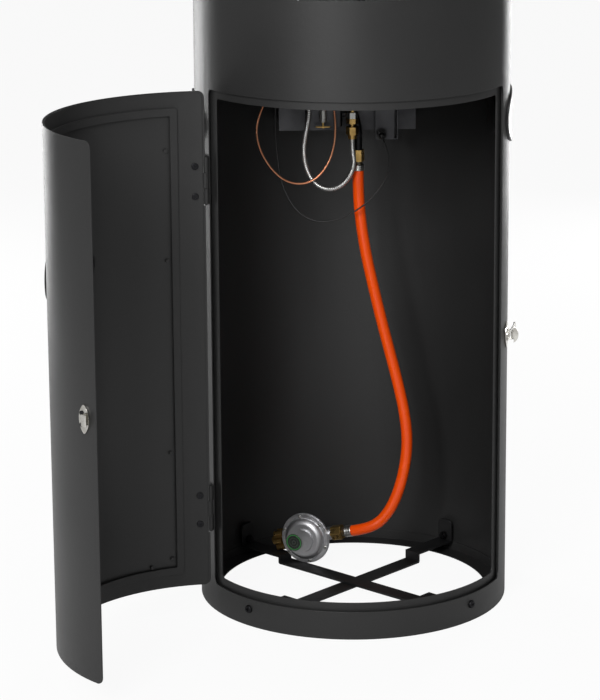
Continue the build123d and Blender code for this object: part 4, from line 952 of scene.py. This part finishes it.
@dataclass
class BurnerTop:
    """Burner, glass tube, guard, posts and rain cap above the cabinet."""

    paint: Paintbox
    finishes: Finishes
    wall: float = 0.004
    lip: float = 0.0008

    def tube(self) -> None:
        """Turn the glass tube: a round wall with fire-polished ends, so the profile closes on itself.

        Each long side has a second ring just inside its ends, which keeps the wall's shading straight.
        """
        low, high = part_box("glass_tube")
        outer = (high.x - low.x) / 2
        inner, lip = outer - self.wall, self.lip
        centre = (low + high) / 2
        length = high.z - low.z
        profile = [(inner + lip, 0.0), (outer - lip, 0.0), (outer, lip), (outer, 2 * lip),
                   (outer, length - 2 * lip), (outer, length - lip), (outer - lip, length),
                   (inner + lip, length), (inner, length - lip), (inner, length - 2 * lip),
                   (inner, 2 * lip), (inner, lip)]
        tube = turned("clear_tube", profile, (centre.x, centre.y, low.z), (0, 0, 1), around=160, closed=True)
        self.paint.mount(tube, self.finishes.glass, Body.CABINET, "glass_clear", "glass_tube")

    def dress(self) -> None:
        """Turn the glass and paint the upper part."""
        f = self.finishes
        self.tube()
        self.paint.nodes(f.coat, "upper_deck", "glass_guard", "guard_posts", "rain_cap")
        self.paint.nodes(f.stainless, "burner_cup", "burner_head", "glass_collars")
        self.paint.nodes(f.zinc, "post_nuts")
        self.paint.nodes(f.ceramic, "burner_probes")


# ---- studio --------------------------------------------------------------------------------


@dataclass
class SoftBox:
    """A rectangular lamp that faces the heater. Its azimuth is in degrees round from the doorway."""

    name: str
    azimuth: float
    height: float
    distance: float
    size: tuple[float, float]
    power: float

    def build(self, target: Vector) -> None:
        """Set the lamp up.

        Args:
            target: The point that it faces.
        """
        data = bpy.data.lights.new(self.name, "AREA")
        data.shape = "RECTANGLE"
        data.size, data.size_y = self.size
        data.energy = self.power
        lamp = bpy.data.objects.new(self.name, data)
        bpy.context.scene.collection.objects.link(lamp)
        turn = math.radians(self.azimuth)
        place = Vector((math.sin(turn), -math.cos(turn), 0)) * self.distance + Vector((0, 0, self.height))
        aim = (target - place).to_track_quat("-Z", "Y").to_matrix().to_4x4()
        lamp.matrix_world = Matrix.Translation(place) @ aim


@dataclass
class Studio:
    """Pale floor, bright surroundings, soft lamps and the camera, whose angles are in degrees."""

    camera_place: Point = (-0.231, -3.572, 1.279)
    pitch: float = 12.95
    yaw: float = 2.568
    roll: float = -0.3755
    lens: float = 139.72
    shift: float = -0.12
    sensor: float = 36.0
    target: Point = (0.0, 0.0, 0.5)
    ambient: float = 0.22
    backdrop: float = 1.05
    floor_radius: float = 12.0
    floor_drop: float = 0.0004
    floor_white: float = 0.93
    lamps: Sequence[SoftBox] = field(default_factory=lambda: [
        SoftBox("front_softbox", -22.0, 2.0, 3.4, (1.2, 1.2), 84.0),
        SoftBox("left_strip", -146.0, 0.9, 2.6, (0.5, 2.2), 34.0),
        SoftBox("right_strip", 152.0, 0.9, 2.6, (0.4, 2.2), 30.0),
        SoftBox("overhead", 0.0, 3.4, 0.6, (2.0, 2.0), 22.0),
    ])

    def build(self) -> None:
        """Put up the surroundings, the floor, the lamps and the camera."""
        self.surroundings()
        self.floor()
        for lamp in self.lamps:
            lamp.build(Vector(self.target))
        self.camera()

    def surroundings(self) -> None:
        """White to the eye, and a dimmer grey as a source of light."""
        world = bpy.data.worlds.new("studio_air")
        world.use_nodes = True
        tree = world.node_tree
        light = tree.nodes["Background"]
        light.inputs["Color"].default_value = (1.0, 1.0, 1.0, 1.0)
        light.inputs["Strength"].default_value = self.ambient
        seen = tree.nodes.new("ShaderNodeBackground")
        seen.inputs["Color"].default_value = (1.0, 1.0, 1.0, 1.0)
        seen.inputs["Strength"].default_value = self.backdrop
        path = tree.nodes.new("ShaderNodeLightPath")
        both = tree.nodes.new("ShaderNodeMixShader")
        tree.links.new(path.outputs["Is Camera Ray"], both.inputs[0])
        tree.links.new(light.outputs[0], both.inputs[1])
        tree.links.new(seen.outputs[0], both.inputs[2])
        tree.links.new(both.outputs[0], tree.nodes["World Output"].inputs["Surface"])
        bpy.context.scene.world = world
        bpy.context.scene.view_settings.view_transform = "Standard"

    def floor(self) -> None:
        """Lay a wide pale disc just under the heater, nearly white to the eye whatever falls on it."""
        angle = np.linspace(0, 2 * math.pi, 96, endpoint=False)
        across = [np.cos(angle) * self.floor_radius, np.sin(angle) * self.floor_radius]
        rim = np.stack([*across, np.full_like(angle, -self.floor_drop)], -1)
        mesh = bpy.data.meshes.new("pale_floor")
        mesh.from_pydata(rim.tolist(), [], [list(range(len(angle)))])
        floor = bpy.data.objects.new("pale_floor", mesh)
        bpy.context.scene.collection.objects.link(floor)
        g = Graph("pale_floor")
        lit = g.finish(Base_Color=g.mix(g.noise(3.0), (0.8, 0.8, 0.8), (0.84, 0.84, 0.84)), Roughness=0.8)
        white = g.add("ShaderNodeEmission", {"Color": (1.0, 1.0, 1.0, 1.0), "Strength": 1.0})
        seen = g.add("ShaderNodeLightPath").outputs["Is Camera Ray"]
        share = g.spread(seen, 0.0, 1.0, 0.0, self.floor_white)
        both = g.add("ShaderNodeMixShader", {0: share, 1: g.shader.outputs[0], 2: white.outputs[0]})
        g.feed(g.tree.nodes["Material Output"].inputs["Surface"], both.outputs[0])
        mesh.materials.append(lit)

    def camera(self) -> None:
        """Aim the camera: forward comes from yaw and pitch, and the view then rolls about it."""
        pitch, yaw, roll = (math.radians(a) for a in (self.pitch, self.yaw, self.roll))
        forward = Vector((math.sin(yaw) * math.cos(pitch), math.cos(yaw) * math.cos(pitch), -math.sin(pitch)))
        level = forward.cross(Vector((0, 0, 1))).normalized()
        upright = level.cross(forward)
        right = level * math.cos(roll) + upright * math.sin(roll)
        up = upright * math.cos(roll) - level * math.sin(roll)
        data = bpy.data.cameras.new("camera")
        data.lens = self.lens
        data.sensor_width = self.sensor
        data.shift_y = self.shift
        data.clip_end = 60.0
        camera = bpy.data.objects.new("camera", data)
        bpy.context.scene.collection.objects.link(camera)
        turn = Matrix((right, up, -forward)).transposed().to_4x4()
        camera.matrix_world = Matrix.Translation(Vector(self.camera_place)) @ turn
        bpy.context.scene.camera = camera


def main() -> None:
    """Put up the studio, then build and dress every sub-assembly in order."""
    logging.basicConfig(level=logging.INFO, format="%(name)s: %(message)s")
    paint, finishes = Paintbox(), Finishes()
    Studio().build()
    GasHose(paint, finishes).build()
    BurnerFeed(paint, finishes).build()
    GasTrain(paint, finishes).dress()
    Cabinet(paint, finishes).dress()
    Door(paint, finishes).dress()
    Latch(paint, finishes).dress()
    Controls(paint, finishes).build()
    BurnerTop(paint, finishes).dress()


if __name__ == "__main__":
    main()
